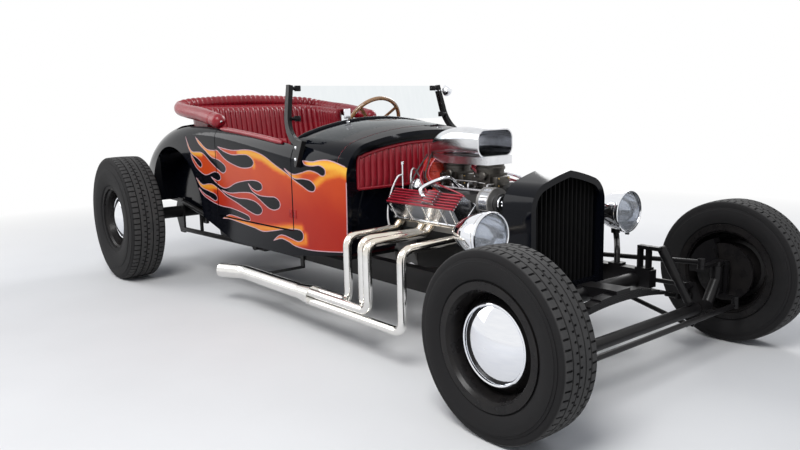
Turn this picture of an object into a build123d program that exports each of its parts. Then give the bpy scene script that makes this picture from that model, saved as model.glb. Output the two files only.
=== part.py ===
from build123d import *
import math
import os

# Street rod roadster with an open V8, in millimetres.
# +X points to the nose, +Y to the left side, +Z up; the origin is on the ground at mid length.

os.makedirs("parts", exist_ok=True)

# Wheels and stance
WHEELBASE = 3195.0
FRONT_TRACK = 1480.0
REAR_TRACK = 1614.0
FRONT_TYRE_R = 311.0
FRONT_TYRE_W = 168.0
REAR_TYRE_R = 389.0
REAR_TYRE_W = 219.0
RIM_FLANGE_R = 207.5
RIM_BARREL_R = 188.0
RIM_WALL = 14.0
FRONT_RIM_W = 148.0
REAR_RIM_W = 162.0
FLANGE_T = 8.0
CAP_R = 132.0
CAP_H = 43.0
HUB_R = 34.0
SPINDLE_R = 16.0
RUNNING_GAP = 0.08
SEAT_GAP = 0.3
DISC_FACE = 34.0
ROTOR_R = 125.0
ROTOR_IN = -74.0
ROTOR_OUT = -62.0
DRUM_R = 130.0
HUB_END = 26.0

# Stations along the car, tied to the axles
FRONT_AXLE_X = (WHEELBASE + REAR_TYRE_R - FRONT_TYRE_R) / 2
REAR_AXLE_X = FRONT_AXLE_X - WHEELBASE
FIREWALL_X = REAR_AXLE_X + 2030.0
COWL_REAR_X = FIREWALL_X - 430.0
DOOR_FRONT_X = FIREWALL_X - 381.0
DOOR_REAR_X = FIREWALL_X - 1171.0
SEAT_X = REAR_AXLE_X + 308.0
DECK_X = REAR_AXLE_X - 42.0
TAIL_X = REAR_AXLE_X - REAR_TYRE_R + 32.0
SHELL_FRONT_X = FRONT_AXLE_X - 316.0
SHELL_DEPTH = 150.0
SHELL_REAR_X = SHELL_FRONT_X - SHELL_DEPTH

# Frame
RAIL_Y = 330.0
RAIL_W = 50.0
RAIL_H = 100.0
RAIL_Z = 300.0
RAIL_TOP = RAIL_Z + RAIL_H / 2
RAIL_OUT = RAIL_Y + RAIL_W / 2
RAIL_IN = RAIL_Y - RAIL_W / 2
RAIL_FRONT_X = FRONT_AXLE_X - 136.0
KICK_LOW_X = REAR_AXLE_X + 458.0
KICK_HIGH_X = REAR_AXLE_X + 308.0
KICK_RISE = 265.0
RAIL_REAR_X = TAIL_X + 70.0
TIE_HOLE_X = RAIL_FRONT_X - 350.0
TIE_HOLE_Z = RAIL_Z + 5.0
TIE_HOLE_R = 9.0

# Body skin
SIDE_WALL = 30.0
SKIN = 20.0
PANEL_GAP = 6.0
HINGE_R = PANEL_GAP / 2 - SEAT_GAP
HINGE_Y = 554.0
LID_HINGE_Z = 964.0
LID_FRONT_X = REAR_AXLE_X + 110.0
LID_REAR_X = TAIL_X + 60.0
LID_HALF = 360.0
FIREWALL_T = 14.0
RECESS = 44.0
SILL_TOP = 460.0
FLOOR_T = 16.0
ARCH_X = REAR_AXLE_X + 208.0
ARCH_Z = 385.0
ARCH_R = 450.0
ARCH_DEPTH_Y = 425.0
BULKHEAD_X = SEAT_X - 45.0
TRAY_Z = 630.0
SEAT_PAN_Z = 500.0
SEAT_FRONT_X = SEAT_X + 610.0

# Body sections: station, half width, crown height, crown radius, crown half chord
BODY_SECTIONS = [
    (FIREWALL_X, 500.0, 938.0, 1617.0, 383.0),
    (COWL_REAR_X, 560.0, 995.0, 1500.0, 480.0),
    (DOOR_REAR_X, 578.0, 1010.0, 3000.0, 520.0),
    (SEAT_X, 580.0, 1000.0, 4000.0, 500.0),
    (DECK_X, 565.0, 925.0, 4000.0, 470.0),
    (TAIL_X, 520.0, 770.0, 4000.0, 420.0),
]
BODY_DEEP = 300.0
# Lower edge of the body: station and height, nose to tail
BODY_HEM = [
    (FIREWALL_X + 1.0, 386.0),
    (COWL_REAR_X, 333.0),
    (DOOR_REAR_X + 160.0, 335.0),
    (REAR_AXLE_X + 658.0, 432.0),
    (TAIL_X - 1.0, 450.0),
]

# Engine
CRANK_Z = 385.0
ENGINE_REAR_X = FIREWALL_X + 58.0
ENGINE_LEN = 500.0
ENGINE_FRONT_X = ENGINE_REAR_X + ENGINE_LEN
BANK_ANGLE = 45.0
DECK_D = 229.0
HEAD_D = 325.0
HEAD_HALF = 92.0
COVER_LEN = 445.0
COVER_X = ENGINE_REAR_X + 24.0
COVER_H = 85.0
FIN_H = 8.0
FIN_T = 4.0
CARB_STEP = 215.0
CARB_X = ENGINE_REAR_X + 135.0
MANIFOLD_TOP = 655.0
CARB_TOP = 790.0
HOSE_X = ENGINE_FRONT_X - 58.0
SCOOP_BASE_T = 30.0
SCOOP_FRONT_X = ENGINE_REAR_X + 382.0
SCOOP_LEN = 390.0
SCOOP_W = 224.0
SCOOP_H = 136.0

# Gearbox
GEARBOX_END_X = FIREWALL_X - 720.0
GEARBOX_PAN_D = 130.0

# Exhaust
PIPE_R = 19.0
PIPE_OUT_Y = 620.0
PIPE_IN_Y = 579.0
PIPE_LOW_Z = 165.0
PIPE_STEP_Z = 41.0
COLLECTOR_X = FIREWALL_X - 170.0
TAILPIPE_R = 38.0
TAILPIPE_END_X = FIREWALL_X - 1000.0
HANGER_X = FIREWALL_X - 640.0

# Front suspension and steering
AXLE_Z = 190.0
AXLE_R = 24.0
KINGPIN_INSET = 140.0
KINGPIN_Y = FRONT_TRACK / 2 - KINGPIN_INSET
KINGPIN_R = 11.0
BOSS_R = 24.0
BOSS_LOW = 236.0
BOSS_HIGH = 350.0
EAR_T = 18.0
EAR_GAP = 1.0
UPRIGHT_T = 18.0
UPRIGHT_OUT = FRONT_TRACK / 2 - 94.0
UPRIGHT_IN = UPRIGHT_OUT - UPRIGHT_T
STEER_ARM = 88.0
TIE_Z = 206.0
TIE_R = 11.0
DRAG_ARM = 130.0
DRAG_Z = 385.0
DRAG_Y = KINGPIN_Y - DRAG_ARM
PITMAN = 110.0
PITMAN_X = ENGINE_REAR_X + 111.0
PITMAN_Z = 420.0
DRAG_REAR_Z = PITMAN_Z - PITMAN
BATWING_Y = 450.0
SPRING_X = FRONT_AXLE_X - 86.0
SPRING_Z = 292.0
LEAF_STEP = 7.0
LEAF_T = 6.7
PERCH_Z = SPRING_Z + 4 * LEAF_STEP + LEAF_T + SEAT_GAP
SHACKLE_Y = 396.0
EYE_R = 12.0
SHOCK_LOW = (FRONT_AXLE_X, -382.0, AXLE_Z + AXLE_R + EYE_R + SEAT_GAP)
SHOCK_HIGH = (FRONT_AXLE_X - 116, -362.0, AXLE_Z + 250)
SHOCK_POST_X = RAIL_FRONT_X - 42

# Rear suspension
REAR_TUBE_R = 38.0
BAR_Y = 450.0
BAR_R = 15.0
BAR_PIVOT_X = DOOR_REAR_X + 200.0
BAR_PIVOT_Z = 295.0
COIL_X = REAR_AXLE_X - 82.0
COIL_BAR_Z = RAIL_Z + KICK_RISE + 6
COIL_BAR_R = 20.0
COIL_LOW = (COIL_X, -250.0, REAR_TYRE_R - 100)
COIL_HIGH = (COIL_X, -250.0, COIL_BAR_Z - COIL_BAR_R - EYE_R - SEAT_GAP)

# Steering wheel and column
WHEEL_X = COWL_REAR_X - 400.0
WHEEL_Y = 280.0
WHEEL_Z = 935.0
STEERING_R = 190.0
STEERING_GRIP_R = 12.0
COLUMN_TILT = 28.0
COLUMN_R = 19.0
BOSS_DROP = 32.0

# Radiator shell
SHELL_HALF = 235.0
SHELL_TOP = 785.0
SHELL_FOOT = 290.0
SHELL_CORNER = 110.0
SHELL_PEAK_RISE = 145.0
SHELL_SKIN = 14.0
LIP = 14.0
SLATS = 15

# Windscreen
POST_Y = 548.0
POST_T = 24.0
POST_FOOT_Z = 800.0
POST_TOP_Z = 1173.0
POST_LEAN = 0.2
SCREEN_LOW_Z = 985.0
SCREEN_TOP_Z = 1165.0
SCREEN_T = 6.0

# Upholstery
ROLL_R = 42.0
# Padded roll, front to middle of the right side: station, side, height
ROLL_POINTS = [
    (DOOR_REAR_X - 20, -538.0, 995.6),
    (DOOR_REAR_X - 240, -538.0, 1031.6),
    (SEAT_X - 20, -520.0, 1068.0),
    (SEAT_X - 110, -400.0, 1096.0),
    (SEAT_X - 130, 0.0, 1112.0),
]
CUSHION_HALF = 400.0
CUSHION_TOP = 630.0
CUSHION_REAR_X = SEAT_X + 70.0
BACK_WING_X = SEAT_X + 295.0
BACK_LOW_X = SEAT_X - 12.0
BACK_TOP_X = SEAT_X - 100.0
BACK_HALF = 500.0
BACK_CORNER = 180.0
BACK_T = 72.0
DASH_LOW_Z = 765.0

# Lamps
LAMP_Y = 440.0
LAMP_Z = 568.0
LAMP_R = 92.0
LAMP_LEN = 190.0
LAMP_NOSE_R = 38.0
LAMP_WALL = 5.0
LAMP_FRONT_X = SHELL_FRONT_X - 20.0


def block(x0, x1, y0, y1, z0, z1):
    """Box between two corners."""
    centre = Pos((x0 + x1) / 2, (y0 + y1) / 2, (z0 + z1) / 2)
    return centre * Box(x1 - x0, y1 - y0, z1 - z0)


def rod(start, end, radius):
    """Round bar between two points."""
    a, b = Vector(*start), Vector(*end)
    base = Plane(origin=a, z_dir=b - a)
    return base * Cylinder(radius, (b - a).length, align=(Align.CENTER, Align.CENTER, Align.MIN))


def bent_rod(points, bends, radius):
    """Round bar along straight runs joined by tangent arcs."""
    path = FilletPolyline(*points, radius=bends)
    return sweep(Plane(origin=path @ 0, z_dir=path % 0) * Circle(radius), path=path)


def left(shape):
    """Same piece on the other side of the car."""
    return mirror(shape, about=Plane.XZ)


def both(shape):
    """The piece and its mirror image."""
    return [shape, left(shape)]


def fuse(*shapes):
    """One solid from several that overlap."""
    total = shapes[0]
    for shape in shapes[1:]:
        total = total + shape
    return total


def save(node, *pieces):
    """Write one node's solids."""
    solids = [solid for piece in pieces for solid in piece.solids()]
    shape = solids[0] if len(solids) == 1 else Compound(solids)
    export_step(shape, f"parts/{node}.step")


def across(x):
    """Sketch plane square to the car's length; its axes are Y and Z."""
    return Plane(origin=(x, 0, 0), x_dir=(0, 1, 0), z_dir=(1, 0, 0))


def side(y):
    """Sketch plane along the car's length; its axes are X and Z."""
    return Plane(origin=(0, y, 0), x_dir=(1, 0, 0), z_dir=(0, -1, 0))


def side_plate(points, y0, y1):
    """Flat plate cut to an outline in X and Z, between two planes."""
    outline = side(y1) * make_face(Polyline(*points, close=True))
    return extrude(outline, amount=y1 - y0)


# Wheels are drawn about the Y axis, outboard side towards +Y

def turned(points):
    """Solid of revolution about Y from radius and offset pairs."""
    return revolve(make_face(Polyline(*points, close=True)), axis=Axis.Y)


def tyre(tyre_r, tyre_w, rim_w):
    """Closed tyre ring with bulging walls and a crowned tread."""
    bead = rim_w / 2 - FLANGE_T - SEAT_GAP
    wall = tyre_w / 2
    bore = RIM_BARREL_R + SEAT_GAP
    waist = (RIM_FLANGE_R + tyre_r) / 2
    shoulder = tyre_r - 13.0
    tread = wall * 0.72
    half = [
        Line((bore, -bead), (bore, bead)),
        Line((bore, bead), (RIM_FLANGE_R + 1, bead)),
        ThreePointArc((RIM_FLANGE_R + 1, bead), (waist, wall), (shoulder, wall * 0.86)),
        ThreePointArc((shoulder, wall * 0.86), (tyre_r - 4, wall * 0.8), (tyre_r - 1, tread)),
        ThreePointArc((tyre_r - 1, tread), (tyre_r, 0), (tyre_r - 1, -tread)),
        ThreePointArc((tyre_r - 1, -tread), (tyre_r - 4, -wall * 0.8), (shoulder, -wall * 0.86)),
        ThreePointArc((shoulder, -wall * 0.86), (waist, -wall), (RIM_FLANGE_R + 1, -bead)),
        Line((RIM_FLANGE_R + 1, -bead), (bore, -bead)),
    ]
    return revolve(make_face(Curve() + half), axis=Axis.Y)


def steel_wheel(rim_w):
    """Pressed steel wheel: stepped barrel, bulged centre and hub."""
    half = rim_w / 2
    seat = half - FLANGE_T
    barrel_in = RIM_BARREL_R - RIM_WALL
    barrel = turned([
        (barrel_in, -seat), (RIM_BARREL_R, -seat), (RIM_FLANGE_R, -seat), (RIM_FLANGE_R, -half),
        (barrel_in + 8, -half), (barrel_in, -half + 12), (barrel_in - 12, -20), (barrel_in - 12, 20),
        (barrel_in, half - 12), (barrel_in + 8, half), (RIM_FLANGE_R, half), (RIM_FLANGE_R, seat),
        (RIM_BARREL_R, seat),
    ])
    centre = turned([
        (HUB_R - 6, 4), (92, 4), (112, DISC_FACE - 10), (CAP_R - 6, DISC_FACE), (CAP_R + 4, DISC_FACE),
        (150, 16), (barrel_in - 9, 2), (barrel_in - 9, -6), (146, 8), (CAP_R, DISC_FACE - 8),
        (118, DISC_FACE - 14), (98, -4), (HUB_R - 6, -4),
    ])
    return fuse(barrel, centre)


def hub(inner, outer):
    """Hub barrel with its bearing bore."""
    bore = SPINDLE_R + RUNNING_GAP
    return turned([(bore, inner), (HUB_R, inner), (HUB_R, outer), (bore, outer)])


def wheel_cap():
    """Domed cap with an open back."""
    base = DISC_FACE + SEAT_GAP
    skin = 3.0
    radius = (CAP_R**2 + CAP_H**2) / (2 * CAP_H)
    middle = base + CAP_H - radius
    inner = radius - skin
    inner_r = math.sqrt(inner**2 - (base - middle)**2)

    def on(r, angle):
        return (r * math.sin(angle), middle + r * math.cos(angle))

    outer_edge = math.asin(CAP_R / radius)
    inner_edge = math.asin(inner_r / inner)
    outline = [
        ThreePointArc(on(radius, 0), on(radius, outer_edge / 2), on(radius, outer_edge)),
        Line(on(radius, outer_edge), on(inner, inner_edge)),
        ThreePointArc(on(inner, inner_edge), on(inner, inner_edge / 2), on(inner, 0)),
        Line(on(inner, 0), on(radius, 0)),
    ]
    return revolve(make_face(Curve() + outline), axis=Axis.Y)


def placed(shape, x, y, z):
    """Stand a wheel piece at its hub; a negative y gives the right side."""
    if y < 0:
        return Pos(x, y, z) * left(shape)
    return Pos(x, y, z) * shape


rotor = turned([
    (HUB_R - 4, ROTOR_IN), (ROTOR_R, ROTOR_IN), (ROTOR_R, ROTOR_OUT), (70, ROTOR_OUT),
    (64, ROTOR_OUT + 12), (HUB_R - 4, ROTOR_OUT + 12),
])
drum = turned([(HUB_R - 4, -80), (DRUM_R, -80), (DRUM_R, -34), (92, -4), (HUB_R - 4, -4)])
front_wheel = fuse(steel_wheel(FRONT_RIM_W), hub(ROTOR_IN - 4, HUB_END), rotor)
rear_wheel = fuse(steel_wheel(REAR_RIM_W), hub(-80, HUB_END), drum)
front_tyre = tyre(FRONT_TYRE_R, FRONT_TYRE_W, FRONT_RIM_W)
rear_tyre = tyre(REAR_TYRE_R, REAR_TYRE_W, REAR_RIM_W)
cap = wheel_cap()

# Corners: name, station, side, hub height, wheel, tyre
CORNERS = [
    ("front_right", FRONT_AXLE_X, -FRONT_TRACK / 2, FRONT_TYRE_R, front_wheel, front_tyre),
    ("front_left", FRONT_AXLE_X, FRONT_TRACK / 2, FRONT_TYRE_R, front_wheel, front_tyre),
    ("rear_right", REAR_AXLE_X, -REAR_TRACK / 2, REAR_TYRE_R, rear_wheel, rear_tyre),
    ("rear_left", REAR_AXLE_X, REAR_TRACK / 2, REAR_TYRE_R, rear_wheel, rear_tyre),
]
for corner, x, y, z, wheel_shape, tyre_shape in CORNERS:
    save(f"wheel_{corner}", placed(wheel_shape, x, y, z))
    save(f"tyre_{corner}", placed(tyre_shape, x, y, z))
    save(f"cap_{corner}", placed(cap, x, y, z))


# Frame: boxed rails with a rear kick-up, crossmembers and the spring perch

def frame_rail():
    """Left rail with its tie-down hole and the pivot bracket of the ladder bar."""
    low, high = RAIL_Z - RAIL_H / 2, RAIL_TOP
    rail = side_plate([
        (RAIL_FRONT_X, low + 25), (RAIL_FRONT_X, high), (KICK_LOW_X, high), (KICK_HIGH_X, high + KICK_RISE),
        (RAIL_REAR_X, high + KICK_RISE), (RAIL_REAR_X, low + KICK_RISE + 20),
        (KICK_HIGH_X - 30, low + KICK_RISE + 20),
        (KICK_LOW_X - 60, low), (RAIL_FRONT_X - 240, low),
    ], RAIL_IN, RAIL_OUT)
    tie_hole = rod((TIE_HOLE_X, RAIL_IN - 1, TIE_HOLE_Z), (TIE_HOLE_X, RAIL_OUT + 1, TIE_HOLE_Z), TIE_HOLE_R)
    pivot = block(BAR_PIVOT_X - 40, BAR_PIVOT_X + 40, RAIL_OUT - 5, BAR_Y - 22,
                  BAR_PIVOT_Z - 32, BAR_PIVOT_Z + 32)
    return fuse(rail - tie_hole, pivot)


def crossmembers():
    """Tubes between the rails, the front one with the spring perch."""
    tubes = []
    # Crossmembers: station, height, radius
    for x, z, radius in [
        (FRONT_AXLE_X - 216.0, RAIL_Z, 32.0),
        (FIREWALL_X - 600.0, RAIL_Z - 10, 24.0),
        (COIL_X, COIL_BAR_Z, COIL_BAR_R),
        (RAIL_REAR_X + 30.0, RAIL_Z + KICK_RISE + 10, 24.0),
    ]:
        tubes.append(rod((x, -RAIL_IN, z), (x, RAIL_IN, z), radius))
    perch = side_plate([
        (FRONT_AXLE_X - 240, RAIL_Z - 10), (FRONT_AXLE_X - 240, RAIL_Z + 34), (SPRING_X - 20, PERCH_Z + 14),
        (SPRING_X + 30, PERCH_Z + 14), (SPRING_X + 30, PERCH_Z), (SPRING_X - 30, PERCH_Z),
        (SPRING_X - 40, SPRING_Z + 10),
    ], -45, 45)
    tubes[0] = fuse(tubes[0], perch)
    return tubes


rail_left = frame_rail()
save("frame_rail_left", rail_left)
save("frame_rail_right", left(rail_left))
save("crossmembers", *crossmembers())


def front_axle():
    """Straight tube axle with upturned ends, kingpin bosses and rod brackets."""
    end_z = (BOSS_LOW + BOSS_HIGH) / 2
    elbow_y = KINGPIN_Y - 70
    beam = rod((FRONT_AXLE_X, -elbow_y, AXLE_Z), (FRONT_AXLE_X, elbow_y, AXLE_Z), AXLE_R)
    upturn = fuse(
        Pos(FRONT_AXLE_X, -elbow_y, AXLE_Z) * Sphere(AXLE_R),
        rod((FRONT_AXLE_X, -elbow_y, AXLE_Z), (FRONT_AXLE_X, -KINGPIN_Y + 4, end_z - 8), AXLE_R - 1),
    )
    boss = rod((FRONT_AXLE_X, -KINGPIN_Y, BOSS_LOW), (FRONT_AXLE_X, -KINGPIN_Y, BOSS_HIGH), BOSS_R)
    bore = rod((FRONT_AXLE_X, -KINGPIN_Y, BOSS_LOW - 40), (FRONT_AXLE_X, -KINGPIN_Y, BOSS_HIGH + 40),
               KINGPIN_R + RUNNING_GAP)
    batwing = side_plate([
        (FRONT_AXLE_X - 40, AXLE_Z - 72), (FRONT_AXLE_X - 14, AXLE_Z - 84), (FRONT_AXLE_X + 20, AXLE_Z - 30),
        (FRONT_AXLE_X + 30, AXLE_Z), (FRONT_AXLE_X + 20, AXLE_Z + 32), (FRONT_AXLE_X - 14, AXLE_Z + 112),
        (FRONT_AXLE_X - 40, AXLE_Z + 100),
    ], -BATWING_Y - 6, -BATWING_Y + 6)
    clear = block(FRONT_AXLE_X - 60, FRONT_AXLE_X + 60, -KINGPIN_Y - 60, -KINGPIN_Y + 60,
                  BOSS_HIGH, BOSS_HIGH + 60)
    under = block(FRONT_AXLE_X - 60, FRONT_AXLE_X + 60, -KINGPIN_Y - 60, -KINGPIN_Y + 26,
                  BOSS_LOW - 60, BOSS_LOW)
    axle = fuse(beam, upturn, left(upturn), boss, left(boss), batwing, left(batwing))
    for cut in (bore, clear, under):
        axle = axle - cut - left(cut)
    return axle


save("front_axle", front_axle())


def front_spring():
    """Transverse leaf pack, long leaf at the bottom, with its shackles."""
    leaves = []
    # Leaf half lengths, from the main leaf up
    for level, half in enumerate([390.0, 330.0, 265.0, 200.0, 135.0]):
        z = SPRING_Z + level * LEAF_STEP
        sag = 46.0 * (half / 390.0) ** 2
        lower = ThreePointArc((-half, z - sag), (0, z), (half, z - sag))
        upper = ThreePointArc((half, z - sag + LEAF_T), (0, z + LEAF_T), (-half, z - sag + LEAF_T))
        outline = Curve() + [lower, Line((half, z - sag), (half, z - sag + LEAF_T)), upper,
                             Line((-half, z - sag + LEAF_T), (-half, z - sag))]
        leaves.append(extrude(across(SPRING_X - 24) * make_face(outline), amount=48))
    return leaves


# The leaves lie 0.3 apart, each its own solid
spring_leaves = front_spring()
shackle = fuse(
    rod((SPRING_X - 28, -SHACKLE_Y, SPRING_Z - 52), (SPRING_X + 28, -SHACKLE_Y, SPRING_Z - 52), 9.0),
    block(SPRING_X + 25, SPRING_X + 33, -BATWING_Y + 6, -SHACKLE_Y + 10, SPRING_Z - 64, SPRING_Z - 40),
    block(SPRING_X + 25, FRONT_AXLE_X - 20, -BATWING_Y + 6, -BATWING_Y + 16, SPRING_Z - 64, SPRING_Z - 40),
)
save("front_spring", *spring_leaves, shackle, left(shackle))


def hairpin():
    """Front radius rod: two bars that meet at a joint on the rail."""
    rear = (FRONT_AXLE_X - 650, -BATWING_Y + 20, RAIL_Z - 30)
    eye = rod((rear[0], -RAIL_OUT, rear[2]), (rear[0], rear[1] - 16, rear[2]), 17.0)
    upper = rod(rear, (FRONT_AXLE_X - 34, -BATWING_Y + 20, AXLE_Z + 98), 10.0)
    lower = rod(rear, (FRONT_AXLE_X - 34, -BATWING_Y + 20, AXLE_Z - 70), 10.0)
    pins = [rod((FRONT_AXLE_X - 30, -BATWING_Y + 6, z), (FRONT_AXLE_X - 30, -BATWING_Y + 32, z), 13.0)
            for z in (AXLE_Z + 98, AXLE_Z - 70)]
    return fuse(eye, upper, lower, *pins)


def ladder_bar():
    """Rear radius rod: two bars, a strut and the axle bracket."""
    pivot = (BAR_PIVOT_X, -BAR_Y, BAR_PIVOT_Z)
    eye = rod((BAR_PIVOT_X, -BAR_Y + 21.7, BAR_PIVOT_Z), (BAR_PIVOT_X, -BAR_Y - 22, BAR_PIVOT_Z), 24.0)
    upper = rod(pivot, (REAR_AXLE_X + 40, -BAR_Y, REAR_TYRE_R + 70), BAR_R)
    lower = rod(pivot, (REAR_AXLE_X + 30, -BAR_Y, REAR_TYRE_R - 118), BAR_R)
    share = 0.72
    run = REAR_AXLE_X + 35 - BAR_PIVOT_X
    strut_x = BAR_PIVOT_X + run * share
    strut = rod((strut_x, -BAR_Y, BAR_PIVOT_Z + share * (REAR_TYRE_R - 118 - BAR_PIVOT_Z)),
                (strut_x, -BAR_Y, BAR_PIVOT_Z + share * (REAR_TYRE_R + 70 - BAR_PIVOT_Z)), 11.0)
    plate = side_plate([
        (REAR_AXLE_X + 62, REAR_TYRE_R + 92), (REAR_AXLE_X - 20, REAR_TYRE_R + 92),
        (REAR_AXLE_X - 62, REAR_TYRE_R + 20), (REAR_AXLE_X - 62, REAR_TYRE_R - 40),
        (REAR_AXLE_X - 10, REAR_TYRE_R - 140), (REAR_AXLE_X + 52, REAR_TYRE_R - 140),
    ], -BAR_Y - 7, -BAR_Y + 7)
    hole = rod((REAR_AXLE_X, -BAR_Y - 30, REAR_TYRE_R), (REAR_AXLE_X, -BAR_Y + 30, REAR_TYRE_R),
               REAR_TUBE_R + SEAT_GAP)
    return fuse(eye, upper, lower, strut, plate) - hole


save("radius_rods", *both(hairpin()), *both(ladder_bar()))


def damper(low, high, body_r, rod_r, share):
    """Telescopic damper with an eye at each end."""
    a, b = Vector(*low), Vector(*high)
    middle = a + (b - a) * share
    eyes = [rod((p.X, p.Y - 14, p.Z), (p.X, p.Y + 14, p.Z), EYE_R) for p in (a, b)]
    return fuse(rod(low, tuple(middle), body_r), rod(tuple(middle), high, rod_r), *eyes)


front_damper = damper(SHOCK_LOW, SHOCK_HIGH, 17.0, 21.0, 0.45)
shock_arm = fuse(
    block(SHOCK_POST_X - 30, SHOCK_POST_X + 30, -RAIL_OUT, -RAIL_IN, RAIL_TOP, RAIL_TOP + 8),
    *[block(SHOCK_POST_X + leg - 6, SHOCK_POST_X + leg + 6, -RAIL_Y - 16, -RAIL_Y + 16,
            RAIL_TOP, SHOCK_HIGH[2] + 12) for leg in (-20, 20)],
    block(SHOCK_POST_X - 26, SHOCK_HIGH[0] + 8, -RAIL_Y - 12, -RAIL_Y + 12,
          SHOCK_HIGH[2] - 4, SHOCK_HIGH[2] + 12),
    rod((SHOCK_HIGH[0], -RAIL_Y, SHOCK_HIGH[2]), (SHOCK_HIGH[0], SHOCK_HIGH[1], SHOCK_HIGH[2]), 7.0),
)
rear_damper = damper(COIL_LOW, COIL_HIGH, 26.0, 36.0, 0.3)
coil_arms = block(COIL_X - 8, REAR_AXLE_X - 30, COIL_LOW[1] - 10, COIL_LOW[1] + 10,
                  COIL_LOW[2] - 12, REAR_TYRE_R) - rod(
    (REAR_AXLE_X, -400, REAR_TYRE_R), (REAR_AXLE_X, -100, REAR_TYRE_R), REAR_TUBE_R + SEAT_GAP)
save("shock_absorbers", *both(fuse(front_damper, shock_arm)), *both(fuse(rear_damper, coil_arms)))


def rear_axle():
    """Tube housing with a round centre, pinion nose and wheel spindles."""
    z = REAR_TYRE_R
    hub_y = REAR_TRACK / 2
    tube = rod((REAR_AXLE_X, -hub_y + 95, z), (REAR_AXLE_X, hub_y - 95, z), REAR_TUBE_R)
    banjo = Pos(REAR_AXLE_X, 0, z) * Sphere(118.0)
    cheeks = [rod((REAR_AXLE_X, s * 30, z), (REAR_AXLE_X, s * 190, z), 62.0) for s in (-1, 1)]
    nose = Plane(origin=(REAR_AXLE_X + 80, 0, z), z_dir=(1, 0, 0)) * Cone(
        78.0, 44.0, 120.0, align=(Align.CENTER, Align.CENTER, Align.MIN))
    ends = []
    for s in (-1, 1):
        ends.append(rod((REAR_AXLE_X, s * (hub_y - 96), z), (REAR_AXLE_X, s * (hub_y - 86), z), 118.0))
        ends.append(rod((REAR_AXLE_X, s * (hub_y - 96), z), (REAR_AXLE_X, s * (hub_y + HUB_END - 2), z),
                        SPINDLE_R))
    return fuse(tube, banjo, *cheeks, nose, *ends)


save("rear_axle", rear_axle())


# Knuckles: ears on a kingpin, upright, spindle, caliper and arms

def knuckle(drag):
    """Right-hand steering knuckle; drag adds the arm for the drag link."""
    x, y = FRONT_AXLE_X, -KINGPIN_Y
    top = BOSS_HIGH + EAR_GAP
    low = BOSS_LOW - EAR_GAP
    pin = rod((x, y, low - EAR_T), (x, y, top + EAR_T), KINGPIN_R)
    parts = [pin]
    for z in (top, low - EAR_T):
        parts.append(rod((x, y, z), (x, y, z + EAR_T), 21.0))
        parts.append(block(x - 21, x + 21, -UPRIGHT_OUT, y, z, z + EAR_T))
    parts.append(block(x - 34, x + 34, -UPRIGHT_OUT, -UPRIGHT_IN, low - EAR_T, top + EAR_T))
    hub_y = FRONT_TRACK / 2
    parts.append(rod((x, -UPRIGHT_IN, FRONT_TYRE_R), (x, -hub_y - HUB_END + 2, FRONT_TYRE_R), SPINDLE_R))
    arm = fuse(
        rod((x, y, low - EAR_T), (x, y, low), 21.0),
        block(x, x + STEER_ARM, y - 11, y + 11, low - EAR_T, low - 4),
        rod((x + STEER_ARM, y, low - EAR_T), (x + STEER_ARM, y, low - 4), 15.0),
    )
    parts.append(arm - rod((x + STEER_ARM, y, 0), (x + STEER_ARM, y, low + 20), 6.0 + RUNNING_GAP))
    if drag:
        reach = fuse(
            block(x - 13, x + 13, y, y + DRAG_ARM, top + 4, top + EAR_T),
            rod((x, y + DRAG_ARM, top + 4), (x, y + DRAG_ARM, top + EAR_T), 15.0),
        )
        parts.append(reach - rod((x, y + DRAG_ARM, top - 20), (x, y + DRAG_ARM, top + 60), 6.0 + RUNNING_GAP))
    return fuse(*parts, caliper())


def caliper():
    """Caliper over the rotor's rear upper edge, with its bracket."""
    hub_y = FRONT_TRACK / 2
    ring = turned([
        (84, -94), (150, -94), (150, -46), (84, -46), (84, ROTOR_OUT + 6), (ROTOR_R + 6, ROTOR_OUT + 6),
        (ROTOR_R + 6, ROTOR_IN - 6), (84, ROTOR_IN - 6),
    ])
    wedge = Plane(origin=(0, -200, 0), x_dir=(1, 0, 0), z_dir=(0, 1, 0)) * make_face(
        Polyline((0, 0), (-200, 20), (-200, -260), (-90, -300), close=True))
    piece = ring & extrude(wedge, amount=400)
    bracket = turned([(30, -112), (110, -112), (110, -94), (30, -94)]) & extrude(wedge, amount=400)
    return Pos(FRONT_AXLE_X, -hub_y, FRONT_TYRE_R) * left(fuse(piece, bracket))


save("knuckle_right", knuckle(False))
save("knuckle_left", left(knuckle(True)))


def tie_rod():
    """Track rod ahead of the axle, with a pin into each steering arm."""
    x = FRONT_AXLE_X + STEER_ARM
    low = BOSS_LOW - EAR_GAP - EAR_T
    bar = rod((x, -KINGPIN_Y + 30, TIE_Z - 14), (x, KINGPIN_Y - 30, TIE_Z - 14), TIE_R)
    parts = [bar]
    for s in (-1, 1):
        parts.append(rod((x, s * KINGPIN_Y, TIE_Z - 27), (x, s * KINGPIN_Y, low - 1), 15.0))
        parts.append(rod((x, s * KINGPIN_Y, TIE_Z - 14), (x, s * (KINGPIN_Y - 60), TIE_Z - 14), 8.0))
        parts.append(rod((x, s * KINGPIN_Y, low - 2), (x, s * KINGPIN_Y, low + EAR_T - 4), 6.0))
    return fuse(*parts)


save("tie_rod", tie_rod())


def drag_link():
    """Link from the pitman arm to the left knuckle."""
    top = BOSS_HIGH + EAR_GAP + EAR_T
    front = (FRONT_AXLE_X, DRAG_Y, top + 15)
    rear = (PITMAN_X, DRAG_Y, DRAG_REAR_Z)
    joint = rod((front[0], front[1], top + 1), (front[0], front[1], top + 30), 15.0)
    stud = rod((front[0], front[1], top - EAR_T + 4), (front[0], front[1], top + 2), 6.0)
    end = rod((rear[0], rear[1] - 12, rear[2]), (rear[0], rear[1] + 12, rear[2]), 15.0)
    return fuse(rod(rear, front, 11.0), joint, stud, end)


save("drag_link", drag_link())


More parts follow.
